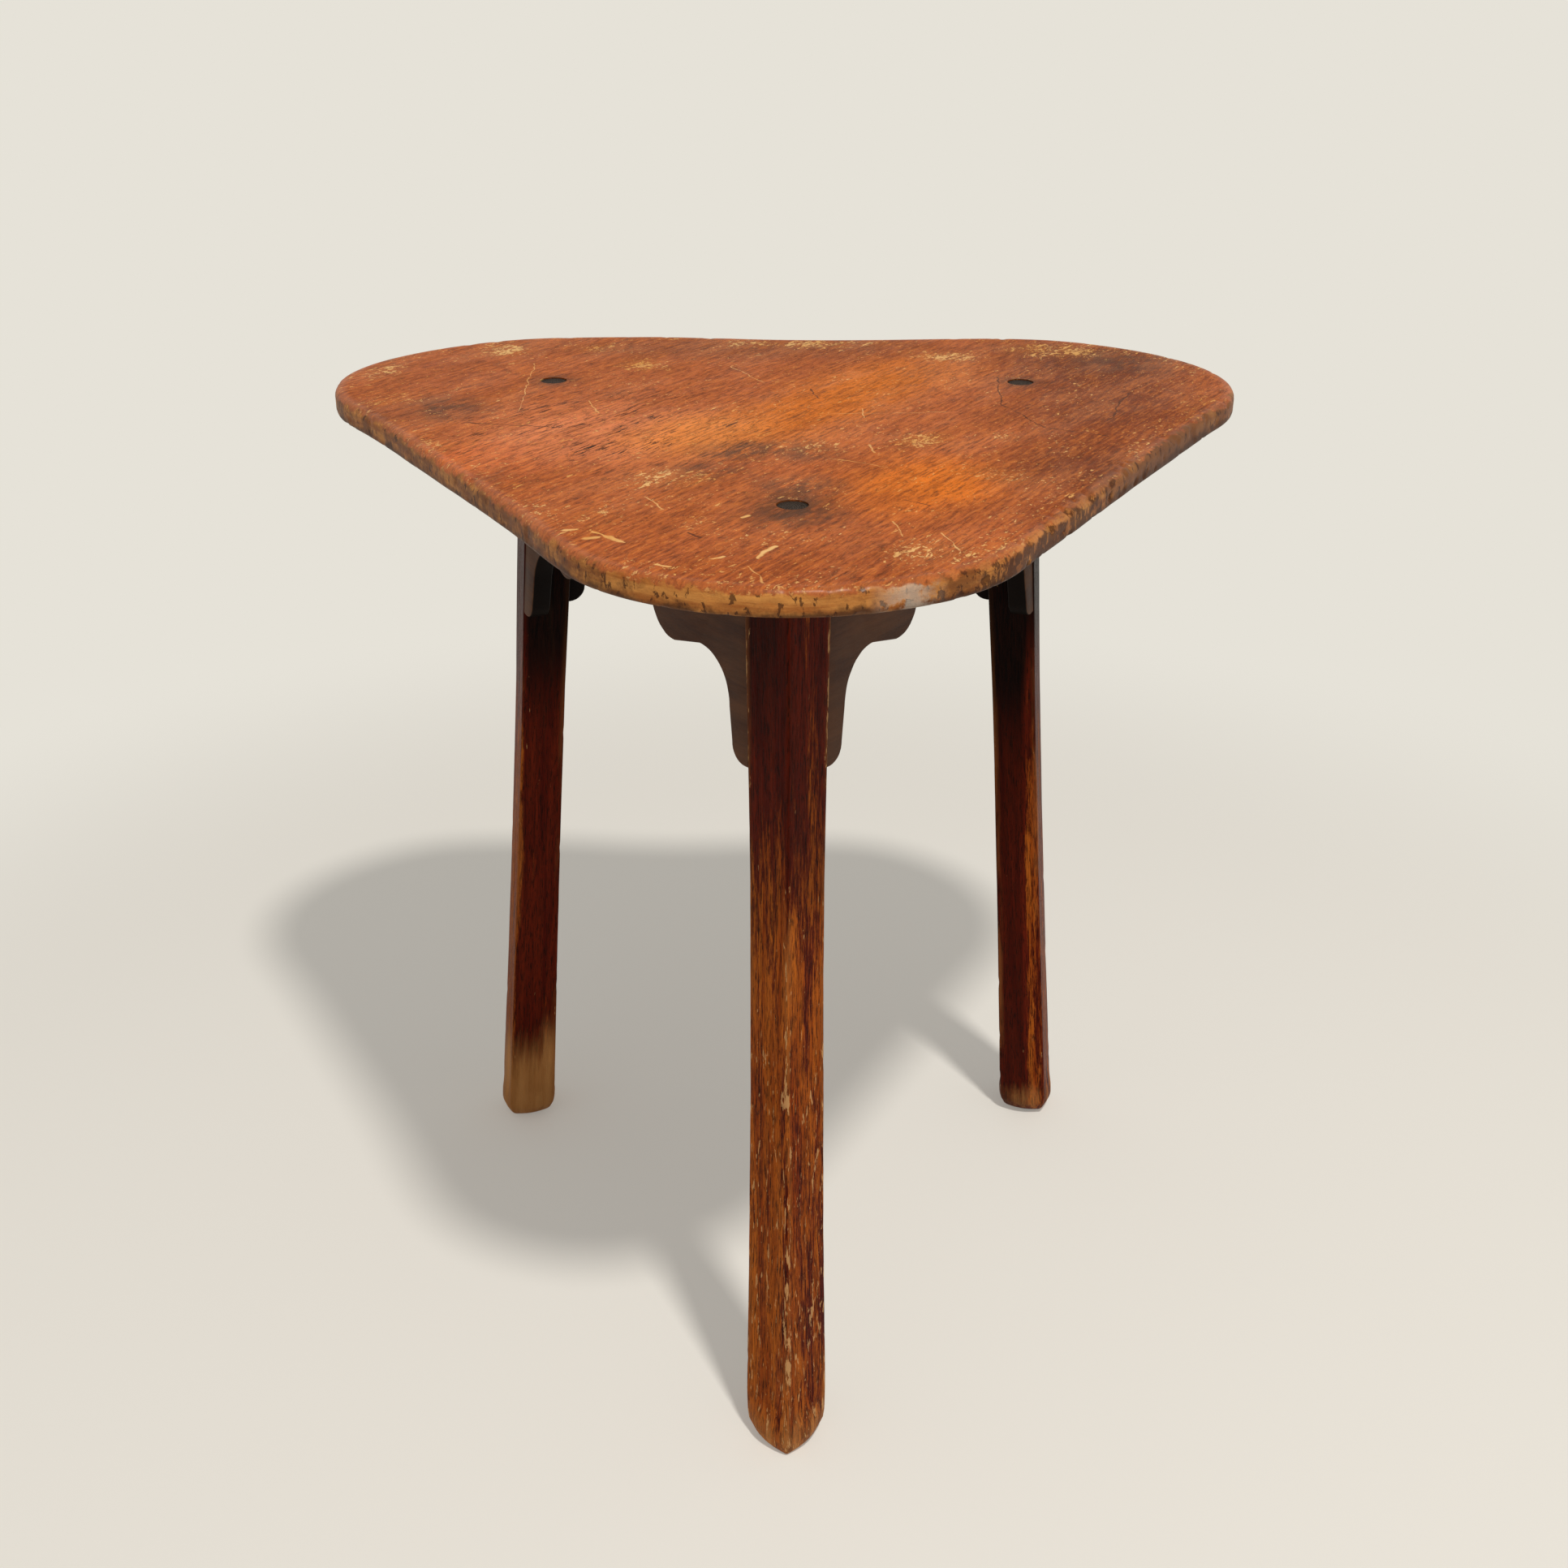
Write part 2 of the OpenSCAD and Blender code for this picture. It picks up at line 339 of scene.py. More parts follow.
def wood_grain_group():
    """Grain of a board whose fibres run along X: broad streaks, fine fibres and short open pores."""
    tree, given, out = new_group(
        "wood_grain", {"Place": "vector"}, ["Streaks", "Fibres", "Pores"]
    )
    s = Shader(tree)
    place = given["Place"]
    broad = s.stretched(place, (5, 70, 70))
    fine = s.stretched(place, (36, 350, 350))
    pore = s.stretched(place, (66, 450, 450))
    s.feed(out["Streaks"], s.fade(s.noise(broad, 1.0, 4.0, 0.6, 0.4), 0.3, 0.7))
    s.feed(out["Fibres"], s.fade(s.noise(fine, 1.0, 5.0, 0.8), 0.36, 0.62))
    s.feed(out["Pores"], s.fade(s.noise(pore, 1.0, 4.0, 0.7), 0.54, 0.6))
    return tree


def scratch_group():
    """A thin scratch from one point to another."""
    tree, given, out = new_group(
        "scratch",
        {"Place": "vector", "Start": "vector", "End": "vector", "Width": "value"},
        ["Mask"],
    )
    s = Shader(tree)
    run = s.vector("SUBTRACT", given["End"], given["Start"])
    past = s.vector("SUBTRACT", given["Place"], given["Start"])
    share = s.math(
        "DIVIDE", s.vector("DOT_PRODUCT", past, run), s.vector("DOT_PRODUCT", run, run), clamp=True
    )
    away = s.vector("LENGTH", s.vector("SUBTRACT", past, s.scaled(run, share)))
    thin = s.times(given["Width"], s.fade(s.noise(given["Place"], 90.0), 0.3, 0.6, 0.25, 1.0))
    s.feed(out["Mask"], s.fade(away, thin, s.times(thin, 0.3)))
    return tree


def flakes_group():
    """Crisp ragged flakes where a finish has chipped: Cover 0 is none, 1 is all over."""
    tree, given, out = new_group(
        "flakes", {"Place": "vector", "Scale": "value", "Cover": "value"}, ["Mask"]
    )
    s = Shader(tree)
    lumps = s.noise(given["Place"], given["Scale"], 6.0, 0.62, 0.3)
    edge = s.less(0.78, s.times(given["Cover"], 0.6))
    s.feed(out["Mask"], s.fade(lumps, edge, s.plus(edge, 0.025)))
    return tree


WOOD_GRAIN = wood_grain_group()
SCRATCH = scratch_group()
FLAKES = flakes_group()


# The varnished top

GRAIN_TURN = 59
VARNISH = shade(188, 96, 46)
# Broad patches of the varnish: middle and reach in millimetres, turn in degrees, colour and strength. The
# two light patches left of the middle are a painted sheen.
TOP_PATCHES = (
    ((30, 95), (74, 215), -31, shade(232, 122, 12), 0.85),
    ((100, 190), (80, 125), -31, shade(216, 114, 14), 0.70),
    ((86, -124), (78, 102), -31, shade(244, 126, 12), 0.88),
    ((-224, -72), (80, 90), -31, shade(222, 104, 38), 0.65),
    # Painted sheen: the two light patches left of the middle
    ((-150, 5), (125, 130), -31, shade(242, 142, 92), 0.80),
    ((-62, 4), (72, 100), -31, shade(252, 152, 70), 0.82),
    ((165, -185), (62, 80), -31, shade(136, 60, 20), 0.70),
    ((-40, -150), (120, 80), 0, shade(186, 98, 46), 0.50),
    ((0, -290), (180, 70), 0, shade(160, 76, 32), 0.60),
    ((260, 220), (140, 160), 0, shade(104, 44, 16), 0.92),
    ((250, 70), (130, 170), 0, shade(114, 46, 14), 0.88),
    ((200, -75), (90, 120), -31, shade(112, 46, 12), 0.90),
    ((-20, 290), (260, 66), 0, shade(128, 62, 26), 0.75),
    ((-290, 190), (90, 130), 0, shade(180, 94, 54), 0.60),
    ((-263, 80), (45, 60), 0, shade(150, 86, 56), 0.50),
    ((-316, 50), (40, 80), 20, shade(124, 74, 50), 0.55),
    ((325, 98), (45, 70), 0, shade(158, 98, 64), 0.20),
    ((215, -135), (28, 110), -32, shade(128, 78, 48), 0.55),
)
# Worn spots that show yellowish through the varnish, and dark smudges: middle and reach, turn, strength
WORN_SPOTS = (
    ((95, -15), (34, 38), -31, 0.62), ((156, -6), (26, 18), -31, 0.60), ((140, -105), (46, 26), -31, 0.65),
    ((78, -266), (46, 30), 10, 0.55), ((-118, 228), (40, 30), -31, 0.80), ((140, 258), (44, 26), 0, 0.80),
    ((235, 278), (80, 40), -20, 0.85), ((-240, 284), (40, 34), 20, 0.95), ((-60, -215), (34, 30), 10, 0.30),
    ((-326, 205), (26, 60), 0, 0.65), ((-80, -110), (40, 40), 0, 0.65), ((20, 305), (140, 22), 0, 0.62),
    ((-305, 105), (26, 34), 0, 0.50), ((-250, -30), (22, 34), 0, 0.45), ((10, -30), (40, 40), 0, 0.40),
    ((-160, 290), (40, 24), 0, 0.60), ((-130, -190), (36, 34), 0, 0.35),
)
DARK_SMUDGES = (
    ((-31, -42), (52, 40), 20, 0.85), ((12, -46), (36, 36), 0, 0.75), ((-52, -92), (44, 36), 0, 0.70),
    ((5, -128), (46, 40), 0, 0.80), ((-2, -200), (60, 36), 0, 0.70), ((-262, 82), (44, 60), 0, 0.75),
    ((290, 240), (70, 70), 0, 0.60), ((225, -110), (30, 80), -32, 0.60), ((-200, -110), (36, 40), 0, 0.45),
)
# Start, end and width in millimetres of the pale and dark scratches and of the long chips
PALE_SCRATCHES = (
    ((-209, 232), (-205, 70), 0.7), ((-153, 103), (-143, 65), 1.0), ((-44, 219), (-18, 164), 0.8),
    ((56, 79), (57, 49), 0.9), ((-96, -154), (-83, -180), 1.0), ((58, -26), (60, -46), 1.2),
    ((30, 62), (120, 66), 0.6), ((90, -230), (96, -262), 1.0), ((60, -205), (66, -236), 0.8),
    ((28, -62), (66, -84), 0.7), ((-20, -320), (-30, -290), 0.9),
)
TOP_CHIPS = (
    ((-142, -221), (-136, -221), 3.2), ((-128, -237), (-122, -234), 4.0), ((-126, -224), (-114, -235), 2.2),
    ((-114, -235), (-104, -248), 4.0), ((-82, -287), (-75, -290), 2.6), ((-52, -277), (-45, -273), 2.8),
    ((-26, -274), (-12, -254), 2.8), ((-33, -197), (-28, -194), 2.4), ((34, -330), (44, -322), 3.2),
)
DARK_SCRATCHES = (
    ((175, 180), (166, 90), 1.0), ((166, 90), (190, 20), 1.3), ((190, 20), (232, -4), 1.1),
    ((272, 126), (240, 40), 1.2), ((75, 116), (92, 128), 1.0), ((70, -161), (86, -172), 1.0),
    ((-66, -226), (-58, -238), 1.6), ((20, 140), (26, 110), 1.0), ((-240, 38), (-170, 22), 1.2),
)
PEG_HALO = {"front": 46, "back_right": 26, "back_left": 30}
# Parts of the top with many open pores, and parts of its side: bare, darker, rougher and scuffed white
POROUS = (((-120, 25), (210, 180), 0, 1.0),)
BARE_SIDE = (((-50, -340), (170, 90), 0, 1.0),)
DARK_SIDE = (((330, -40), (230, 220), 0, 0.95),)
ROUGH_SIDE = (((190, -240), (240, 170), -35, 1.0),)
SCUFFED_SIDE = (((70, -327), (36, 24), 15, 1.0),)


def flat(xy):
    """A place in millimetres on the top as a level vector in metres."""
    return (xy[0] * MM, xy[1] * MM, 0.0)


def peg_middle(leg):
    """Where a peg's axis meets the top surface."""
    turn = leg_frame(leg)
    axis = turn.to_3x3() @ UP
    start = turn @ PEG_PLACE[leg]
    return start + axis * ((TABLE_HEIGHT - start.z) / axis.z)


def scratches(s, place, lines):
    """The mask of several scratches, joined one by one so that few values wait at a time."""
    joined = 0.0
    for start, end, width in lines:
        scratch = s.group(SCRATCH, Place=place, Start=flat(start), End=flat(end), Width=width * MM)
        joined = s.most(scratch["Mask"], joined)
    return joined


def top_varnish():
    """Worn orange-brown varnish in patches, some of them a painted sheen, with its marks and scratches, a
    painted highlight along the arris, and the board's bare side, with painted shade along its bottom.
    """
    material, s, look = new_material("top_varnish")
    place = s.object_place()
    plan = s.stretched(place, (1, 1, 0))
    height = s.node("SeparateXYZ")
    s.feed(height.inputs[0], place)
    turned = s.node("Mapping", vector_type="TEXTURE")
    s.fill(turned, {"Vector": place, "Rotation": (0, 0, math.radians(GRAIN_TURN))})
    grain_place = turned.outputs["Vector"]
    grain = s.group(WOOD_GRAIN, Place=grain_place)

    cloud = s.fade(s.noise(s.stretched(grain_place, (6, 16, 0)), 1.0, 5.0, 0.65), 0.32, 0.68)
    # The varnish's painted patches, a painted sheen among them
    colour = s.attribute("varnish_and_sheen", "Color")
    colour = s.mix(s.fade(cloud, 0, 0.5, 0.25, 0.0), colour, shade(142, 68, 28))
    colour = s.mix(s.fade(cloud, 0.5, 1, 0.0, 0.2), colour, shade(236, 140, 72))

    # Grain: broad streaks, fibres and dark open pores, most of them left of the middle
    colour = s.mix(s.fade(grain["Streaks"], 0, 1, 0.22, 0.0), colour, shade(134, 66, 26))
    colour = s.mix(s.fade(grain["Fibres"], 0, 0.55, 0.5, 0.0), colour, shade(112, 54, 20))
    colour = s.mix(s.fade(grain["Fibres"], 0.55, 1, 0.0, 0.22), colour, shade(240, 142, 58))
    speckle = s.noise(s.stretched(grain_place, (0.45, 1.3, 1)), 300.0, 3.0, 0.75)
    colour = s.mix(s.fade(speckle, 0.48, 0.34, 0.0, 0.55), colour, shade(84, 38, 16))
    colour = s.mix(s.fade(speckle, 0.54, 0.68, 0.0, 0.3), colour, shade(244, 150, 70))
    gathered = s.fade(s.noise(s.stretched(grain_place, (16, 34, 0)), 1.0, 3.0), 0.42, 0.62)
    often = s.fade(s.attribute("porous"), 0, 1, 0.4, 1.0)
    often = s.times(often, s.fade(gathered, 0, 1, 0.3, 1.0))
    pores = s.times(grain["Pores"], often)
    colour = s.mix(pores, colour, shade(46, 24, 13))

    # Dark smudges and the halos round the pegs
    sooty = s.fade(s.noise(s.stretched(grain_place, (0.4, 1, 1)), 120.0, 5.0, 0.7), 0.35, 0.6)
    colour = s.mix(s.times(s.attribute("smudge"), sooty), colour, shade(84, 56, 40))
    halo = s.times(s.attribute("halo"), s.fade(sooty, 0, 1, 0.4, 0.85))
    colour = s.mix(halo, colour, shade(70, 46, 30))

    # Worn spots full of pale flecks, stray flecks all over, and scratches
    spots = s.attribute("worn")
    colour = s.mix(s.times(spots, 0.15), colour, shade(214, 138, 62))
    rim = s.attribute("rim")
    near_rim = s.fade(rim, 30 * MM, 8 * MM, 0.0, 0.05)
    cover = s.plus(s.times(spots, 0.27), s.plus(near_rim, 0.2))
    cover = s.plus(cover, s.fade(gathered, 1, 0, -0.06, 0.05))
    long_place = s.stretched(grain_place, (0.4, 1, 1))
    long_flecks = s.group(FLAKES, Place=long_place, Scale=230.0, Cover=cover)["Mask"]
    round_flecks = s.group(FLAKES, Place=place, Scale=330.0, Cover=cover)["Mask"]
    wander = s.noise(plan, 45.0, output="Color")
    drift = s.scaled(s.vector("SUBTRACT", wander, (0.5, 0.5, 0.5)), 10 * MM)
    bent = s.stretched(s.vector("ADD", plan, drift), (1, 1, 0))
    chipped = s.times(s.most(long_flecks, round_flecks), 0.85)
    bare_wood = s.mix(cloud, shade(226, 160, 84), shade(246, 202, 136))
    colour = s.mix(chipped, colour, bare_wood)
    pale = s.times(scratches(s, bent, PALE_SCRATCHES), 0.75)
    colour = s.mix(s.most(pale, scratches(s, bent, TOP_CHIPS)), colour, bare_wood)
    scored = scratches(s, bent, DARK_SCRATCHES)
    colour = s.mix(s.times(scored, 0.85), colour, shade(74, 36, 18))

    # The rim's rounded arris: a lighter band, part painted highlight and part rubbed varnish, and chips
    # along the rough side
    ragged = s.noise(place, 60.0, 5.0, 0.65)
    arris_line = s.plus(rim, s.fade(ragged, 0.2, 0.8, -6 * MM, 6 * MM))
    arris = s.fade(arris_line, 9 * MM, 1 * MM)
    chipped_rim = s.times(s.attribute("rough_side"), s.fade(ragged, 0.46, 0.56))
    # Painted highlight along the arris, together with rubbed varnish
    colour = s.mix(s.times(arris, 0.4), colour, shade(176, 104, 60))
    chipped_rim = s.times(s.times(arris, chipped_rim), 0.8)
    colour = s.mix(chipped_rim, colour, shade(200, 136, 72))

    # The side: bare ochre wood at the front, darker elsewhere, with upright chips, a white scuff and
    # painted shade along its bottom
    side_line = s.plus(height.outputs["Z"], s.fade(ragged, 0.2, 0.8, -4 * MM, 4 * MM))
    side_line = s.less(side_line, s.times(s.attribute("dark_side"), 3.5 * MM))
    side = s.fade(side_line, TABLE_HEIGHT - 2 * MM, TABLE_HEIGHT - 4.5 * MM)
    side = s.times(side, s.fade(rim, 7 * MM, 4 * MM))
    bands = s.noise(s.stretched(place, (22, 22, 160)), 1.0, 5.0, 0.65)
    ochre = s.mix(s.fade(bands, 0.3, 0.7), shade(160, 90, 36), shade(214, 146, 74))
    stains = s.noise(s.stretched(place, (1, 1, 0.9)), 62.0, 6.0, 0.7)
    spared = s.times(s.attribute("bare_side"), 0.2)
    stained = s.fade(s.less(stains, spared), 0.38, 0.6)
    ochre = s.mix(s.times(stained, 0.75), ochre, shade(108, 60, 28))
    ochre = s.mix(s.attribute("dark_side"), ochre, shade(112, 68, 38))
    # A darker band along the bottom of the side: painted shade where the edge rounds under
    low = s.fade(side_line, UNDERSIDE + 7 * MM, UNDERSIDE + 1 * MM)
    ochre = s.mix(s.times(low, 0.8), ochre, shade(66, 34, 15))
    upright = s.stretched(place, (1, 1, 0.55))
    chip_cover = s.fade(s.attribute("rough_side"), 0, 1, 0.33, 0.56)
    dark_chips = s.group(FLAKES, Place=upright, Scale=190.0, Cover=chip_cover)["Mask"]
    ochre = s.mix(s.times(dark_chips, 0.8), ochre, shade(70, 36, 16))
    scuffed = s.times(s.attribute("scuffed_side"), s.fade(stains, 0.38, 0.5))
    ochre = s.mix(s.times(scuffed, 0.8), ochre, shade(222, 208, 190))
    colour = s.mix(side, colour, ochre)

    gloss = s.fade(cloud, 0, 1, 0.46, 0.36)
    gloss = s.plus(gloss, s.times(chipped, 0.25), clamp=True)
    gloss = s.plus(gloss, s.times(side, 0.1), clamp=True)
    s.fill(look, {
        "Base Color": colour, "Specular IOR Level": 0.02, "Roughness": gloss,
        "Coat Weight": s.times(s.fade(rim, 12 * MM, 4 * MM), 0.24), "Coat Roughness": 0.32,
    })

    relief = s.times(grain["Fibres"], 0.35)
    side_dents = s.times(dark_chips, side)
    for dent, depth in ((pores, 0.7), (chipped, 0.7), (side_dents, 1.2)):
        relief = s.less(relief, s.times(dent, depth))
    relief = s.plus(relief, s.times(s.noise(place, 45.0, 3.0), 1.2))
    s.bump(look, relief, 0.6, 0.7 * MM)
    return material


# Stained legs, brackets, pegs and dowels


def leg_stain():
    """Dark red-brown stain, worn to warm brown as the mesh's wear rises and to bare wood at the feet, with
    painted shade, near black, where that value falls below zero.
    """
    material, s, look = new_material("leg_stain")
    bar = s.attribute("bar", "Vector")
    grain = s.group(WOOD_GRAIN, Place=s.stretched(bar, (1.2, 1.9, 1.9)))
    wear = s.attribute("wear")
    arris = s.attribute("arris")
    patchy = s.noise(s.stretched(bar, (8, 90, 90)), 1.0, 5.0, 0.65)
    worn = s.plus(wear, s.fade(patchy, 0.25, 0.75, -0.26, 0.26))
    worn = s.plus(worn, s.fade(grain["Fibres"], 0, 1, -0.12, 0.12))

    colour = s.mix(grain["Streaks"], shade(78, 16, 8), shade(110, 34, 14))
    warm = s.mix(grain["Streaks"], shade(140, 58, 14), shade(184, 98, 30))
    # Painted shade: near black where the value falls below zero, strongest up under the top
    colour = s.mix(s.fade(wear, -0.05, -0.4), colour, shade(8, 3, 2))
    colour = s.mix(s.fade(worn, 0.16, 0.44), colour, warm)
    colour = s.mix(s.fade(grain["Fibres"], 0, 1, 0.5, 0.0), colour, shade(44, 16, 8))
    colour = s.mix(s.times(grain["Pores"], 0.75), colour, shade(28, 11, 7))
    foot = s.mix(s.fade(patchy, 0.3, 0.7), shade(176, 118, 63), shade(206, 148, 88))
    gone = s.fade(s.plus(s.attribute("bare"), s.fade(patchy, 0.3, 0.7, -0.15, 0.15)), 0.1, 0.9)
    colour = s.mix(s.times(gone, 0.85), colour, foot)

    rubbed = s.times(arris, s.fade(patchy, 0.42, 0.6))
    colour = s.mix(s.times(rubbed, 0.5), colour, shade(150, 92, 48))
    long_bar = s.stretched(bar, (0.16, 1, 1))
    flakes = s.group(FLAKES, Place=long_bar, Scale=380.0, Cover=s.attribute("flecked"))["Mask"]
    colour = s.mix(s.times(flakes, 0.7), colour, shade(214, 164, 108))

    gloss = s.plus(s.fade(worn, 0.2, 0.8, 0.36, 0.6), s.fade(grain["Fibres"], 0, 1, 0.06, -0.04))
    s.fill(look, {"Base Color": colour, "Specular IOR Level": 0.03, "Roughness": gloss})
    relief = s.times(grain["Fibres"], 0.4)
    relief = s.less(relief, s.times(grain["Pores"], 0.5))
    s.bump(look, s.plus(relief, patchy), 0.5, 0.6 * MM)
    return material


def bracket_stain():
    """Smooth satin grey-brown stain with a quiet grain, rubbed a little along the edges, with painted
    shade, near black, on the back legs' brackets.
    """
    material, s, look = new_material("bracket_stain")
    board = s.attribute("board", "Vector")
    grain = s.group(WOOD_GRAIN, Place=board)
    edge = s.attribute("arris")
    cloud = s.noise(s.stretched(board, (6, 34, 34)), 1.0, 4.0, 0.6)
    colour = s.mix(s.fade(cloud, 0.3, 0.7), shade(68, 36, 18), shade(98, 60, 37))
    colour = s.mix(s.fade(grain["Streaks"], 0, 1, 0.35, 0.0), colour, shade(48, 28, 20))
    colour = s.mix(s.fade(grain["Fibres"], 0, 1, 0.2, 0.0), colour, shade(34, 20, 15))
    rubbed = s.times(edge, s.fade(cloud, 0.35, 0.6))
    colour = s.mix(s.times(rubbed, 0.45), colour, shade(128, 96, 74))
    # Painted shade: near black on the back legs' brackets, little on their outer faces
    colour = s.mix(s.attribute("painted_shade"), colour, shade(6, 3, 2))
    gloss = s.fade(cloud, 0.3, 0.7, 0.42, 0.54)
    s.fill(look, {"Base Color": colour, "Specular IOR Level": 0.06, "Roughness": gloss})
    s.bump(look, s.plus(s.times(grain["Fibres"], 0.3), cloud), 0.4, 0.5 * MM)
    return material


def peg_end_grain():
    """Dark end grain: growth rings across the peg, open pores and a darker rim, painted shade where the
    sunken end meets its bore.
    """
    material, s, look = new_material("peg_end_grain")
    place = s.attribute("round", "Vector")
    rings = s.node("TexWave", wave_type="RINGS", rings_direction="Z")
    off_middle = s.vector("ADD", place, (12 * MM, 4 * MM, 0))
    s.fill(rings, {"Vector": off_middle, "Scale": 190.0, "Distortion": 3.0, "Detail": 3.0})
    pores = s.fade(s.noise(place, 900.0, 3.0, 0.6), 0.5, 0.66)
    colour = s.mix(rings.outputs["Fac"], shade(30, 22, 17), shade(58, 43, 32))
    colour = s.mix(s.times(pores, 0.6), colour, shade(18, 13, 10))
    away = s.vector("LENGTH", s.stretched(place, (1, 1, 0)))
    # Painted shade round the edge of the sunken peg end
    colour = s.mix(s.fade(away, PEG_RADIUS - 2 * MM, PEG_RADIUS, 0.0, 0.85), colour, shade(12, 9, 7))
    gloss = s.fade(pores, 0, 1, 0.6, 0.8)
    s.fill(look, {"Base Color": colour, "Specular IOR Level": 0.1, "Roughness": gloss})
    s.bump(look, s.less(rings.outputs["Fac"], pores), 0.6, 0.4 * MM)
    return material


def dowel_wood():
    """Bare pale wood of the hidden dowels."""
    material, s, look = new_material("dowel_wood")
    grain = s.group(WOOD_GRAIN, Place=s.object_place())
    colour = s.mix(grain["Streaks"], shade(176, 138, 94), shade(206, 170, 124))
    colour = s.mix(s.fade(grain["Fibres"], 0, 1, 0.3, 0.0), colour, shade(140, 104, 66))
    s.fill(look, {"Base Color": colour, "Roughness": s.fade(grain["Fibres"], 0, 1, 0.7, 0.55)})
    return material


MATERIALS = {
    "top_varnish": top_varnish(),
    "leg_stain": leg_stain(),
    "bracket_stain": bracket_stain(),
    "peg_end_grain": peg_end_grain(),
    "dowel_wood": dowel_wood(),
}
# Edges that bend by more than this stay sharp
SHARP_DEGREES = {"top_varnish": 50, "leg_stain": 60, "bracket_stain": 40, "peg_end_grain": 50}


# The board of the top

OUTLINE_SPACING = 2.5 * MM
# Angle from +X in degrees, swell in millimetres and spread in degrees of the bulges left by hand cutting
HAND_CUT = (
    (112, 12.5, 12), (141, -5, 8), (161, 2.5, 7), (-178, -1.8, 9), (-114, 2.4, 7),
    (-82, -4.2, 13), (-62, -1.5, 7), (-10, 2.2, 18), (14, 2.4, 7), (38, -4.2, 7), (61, 2, 6),
)
HAND_CUT_RIPPLE = 0.35 * MM
UPPER_ROUND_STEPS = 6
LOWER_ROUND_STEPS = 3
WALL_CUTS = 4
RIM_RINGS = (4 * MM, 6 * MM, 10 * MM, 20 * MM)
PAINT_SPACING = 9 * MM
PAINT_SWAY = 10 * MM
# Angle from +X and spread in degrees of the most chipped side, and the depth of dents and chips
CHIPPED_ANGLE = -45
CHIPPED_SPREAD = 28
DENT_DEPTH = 0.35 * MM
CHIP_DEPTH = 0.7 * MM
MOST_CHIPPED = 1.4 * MM


def angle_on_top(point):
    """The angle in degrees from +X at which a point lies round the middle of the top."""
    out = point - TOP_MIDDLE
    return math.degrees(math.atan2(out.y, out.x))


def hand_cut(point):
    """How far the hand-cut outline stands out at a point of the drawn one."""
    angle = angle_on_top(point)
    swell = 0.0
    for middle, height, spread in HAND_CUT:
        off = (angle - middle + 180) % 360 - 180
        swell += height * MM * math.exp(-0.5 * (off / spread) ** 2)
    return swell + HAND_CUT_RIPPLE * rough(point, 30 * MM, 1)


def board_outline(bm):
    """The rounded triangle: three corner arcs, each carried on into the long hollow of the next side."""
    legs = list(LEG_TURN)
    hollow_radius = {
        leg: (SIDE_LENGTH ** 2 / 4 + SIDE_HOLLOW[leg] ** 2) / (2 * SIDE_HOLLOW[leg]) - CORNER_RADIUS
        for leg in legs
    }
    lean = {
        leg: math.degrees(math.asin(SIDE_LENGTH / 2 / (hollow_radius[leg] + CORNER_RADIUS)))
        for leg in legs
    }
    start = TOP_MIDDLE + heading(LEG_TURN["front"]) * CORNER_REACH
    start = start + heading(LEG_TURN["front"] - 60 - lean["back_left"]) * CORNER_RADIUS
    end = bmesh.ops.create_vert(bm, co=start)["vert"][0]
    before = "back_left"
    for leg in legs:
        turn = LEG_TURN[leg]
        corner = TOP_MIDDLE + heading(turn) * CORNER_REACH
        end = arc_on(bm, end, corner, 120 + lean[before] + lean[leg], OUTLINE_SPACING)
        far = TOP_MIDDLE + heading(turn + 60) * (SIDE_REACH - SIDE_HOLLOW[leg] + hollow_radius[leg])
        end = arc_on(bm, end, far, -2 * lean[leg], OUTLINE_SPACING)
        before = leg
    return close_chain(bm)


def chip_depth(point):
    """How deep the worn rim is chipped at a point: most along the front right side."""
    rougher = math.exp(-0.5 * ((angle_on_top(point) - CHIPPED_ANGLE) / CHIPPED_SPREAD) ** 2)
    lumps = rough(Vector((point.x, point.y, point.z * 1.5)), 14 * MM, 7)
    lumps += 0.5 * rough(point, 6 * MM, 11)
    dents = DENT_DEPTH * max(0.0, rough(point, 40 * MM, 5))
    return dents + (CHIP_DEPTH + MOST_CHIPPED * rougher) * smooth_step(0.28, 0.75, lumps)


def cut_grid(bm, faces, spacing):
    """Cuts level faces along a square grid."""
    for axis in (Vector((1, 0, 0)), Vector((0, 1, 0))):
        places = [vert.co.dot(axis) for face in faces for vert in face.verts]
        for i in range(1, math.ceil((max(places) - min(places)) / spacing)):
            line = axis * (min(places) + i * spacing)
            parts = set(faces)
            for face in faces:
                parts.update(face.verts, face.edges)
            cut = bmesh.ops.bisect_plane(
                bm, geom=list(parts), dist=CUT_SLACK, plane_co=line, plane_no=axis
            )
            faces = [part for part in cut["geom"] if isinstance(part, bmesh.types.BMFace)]


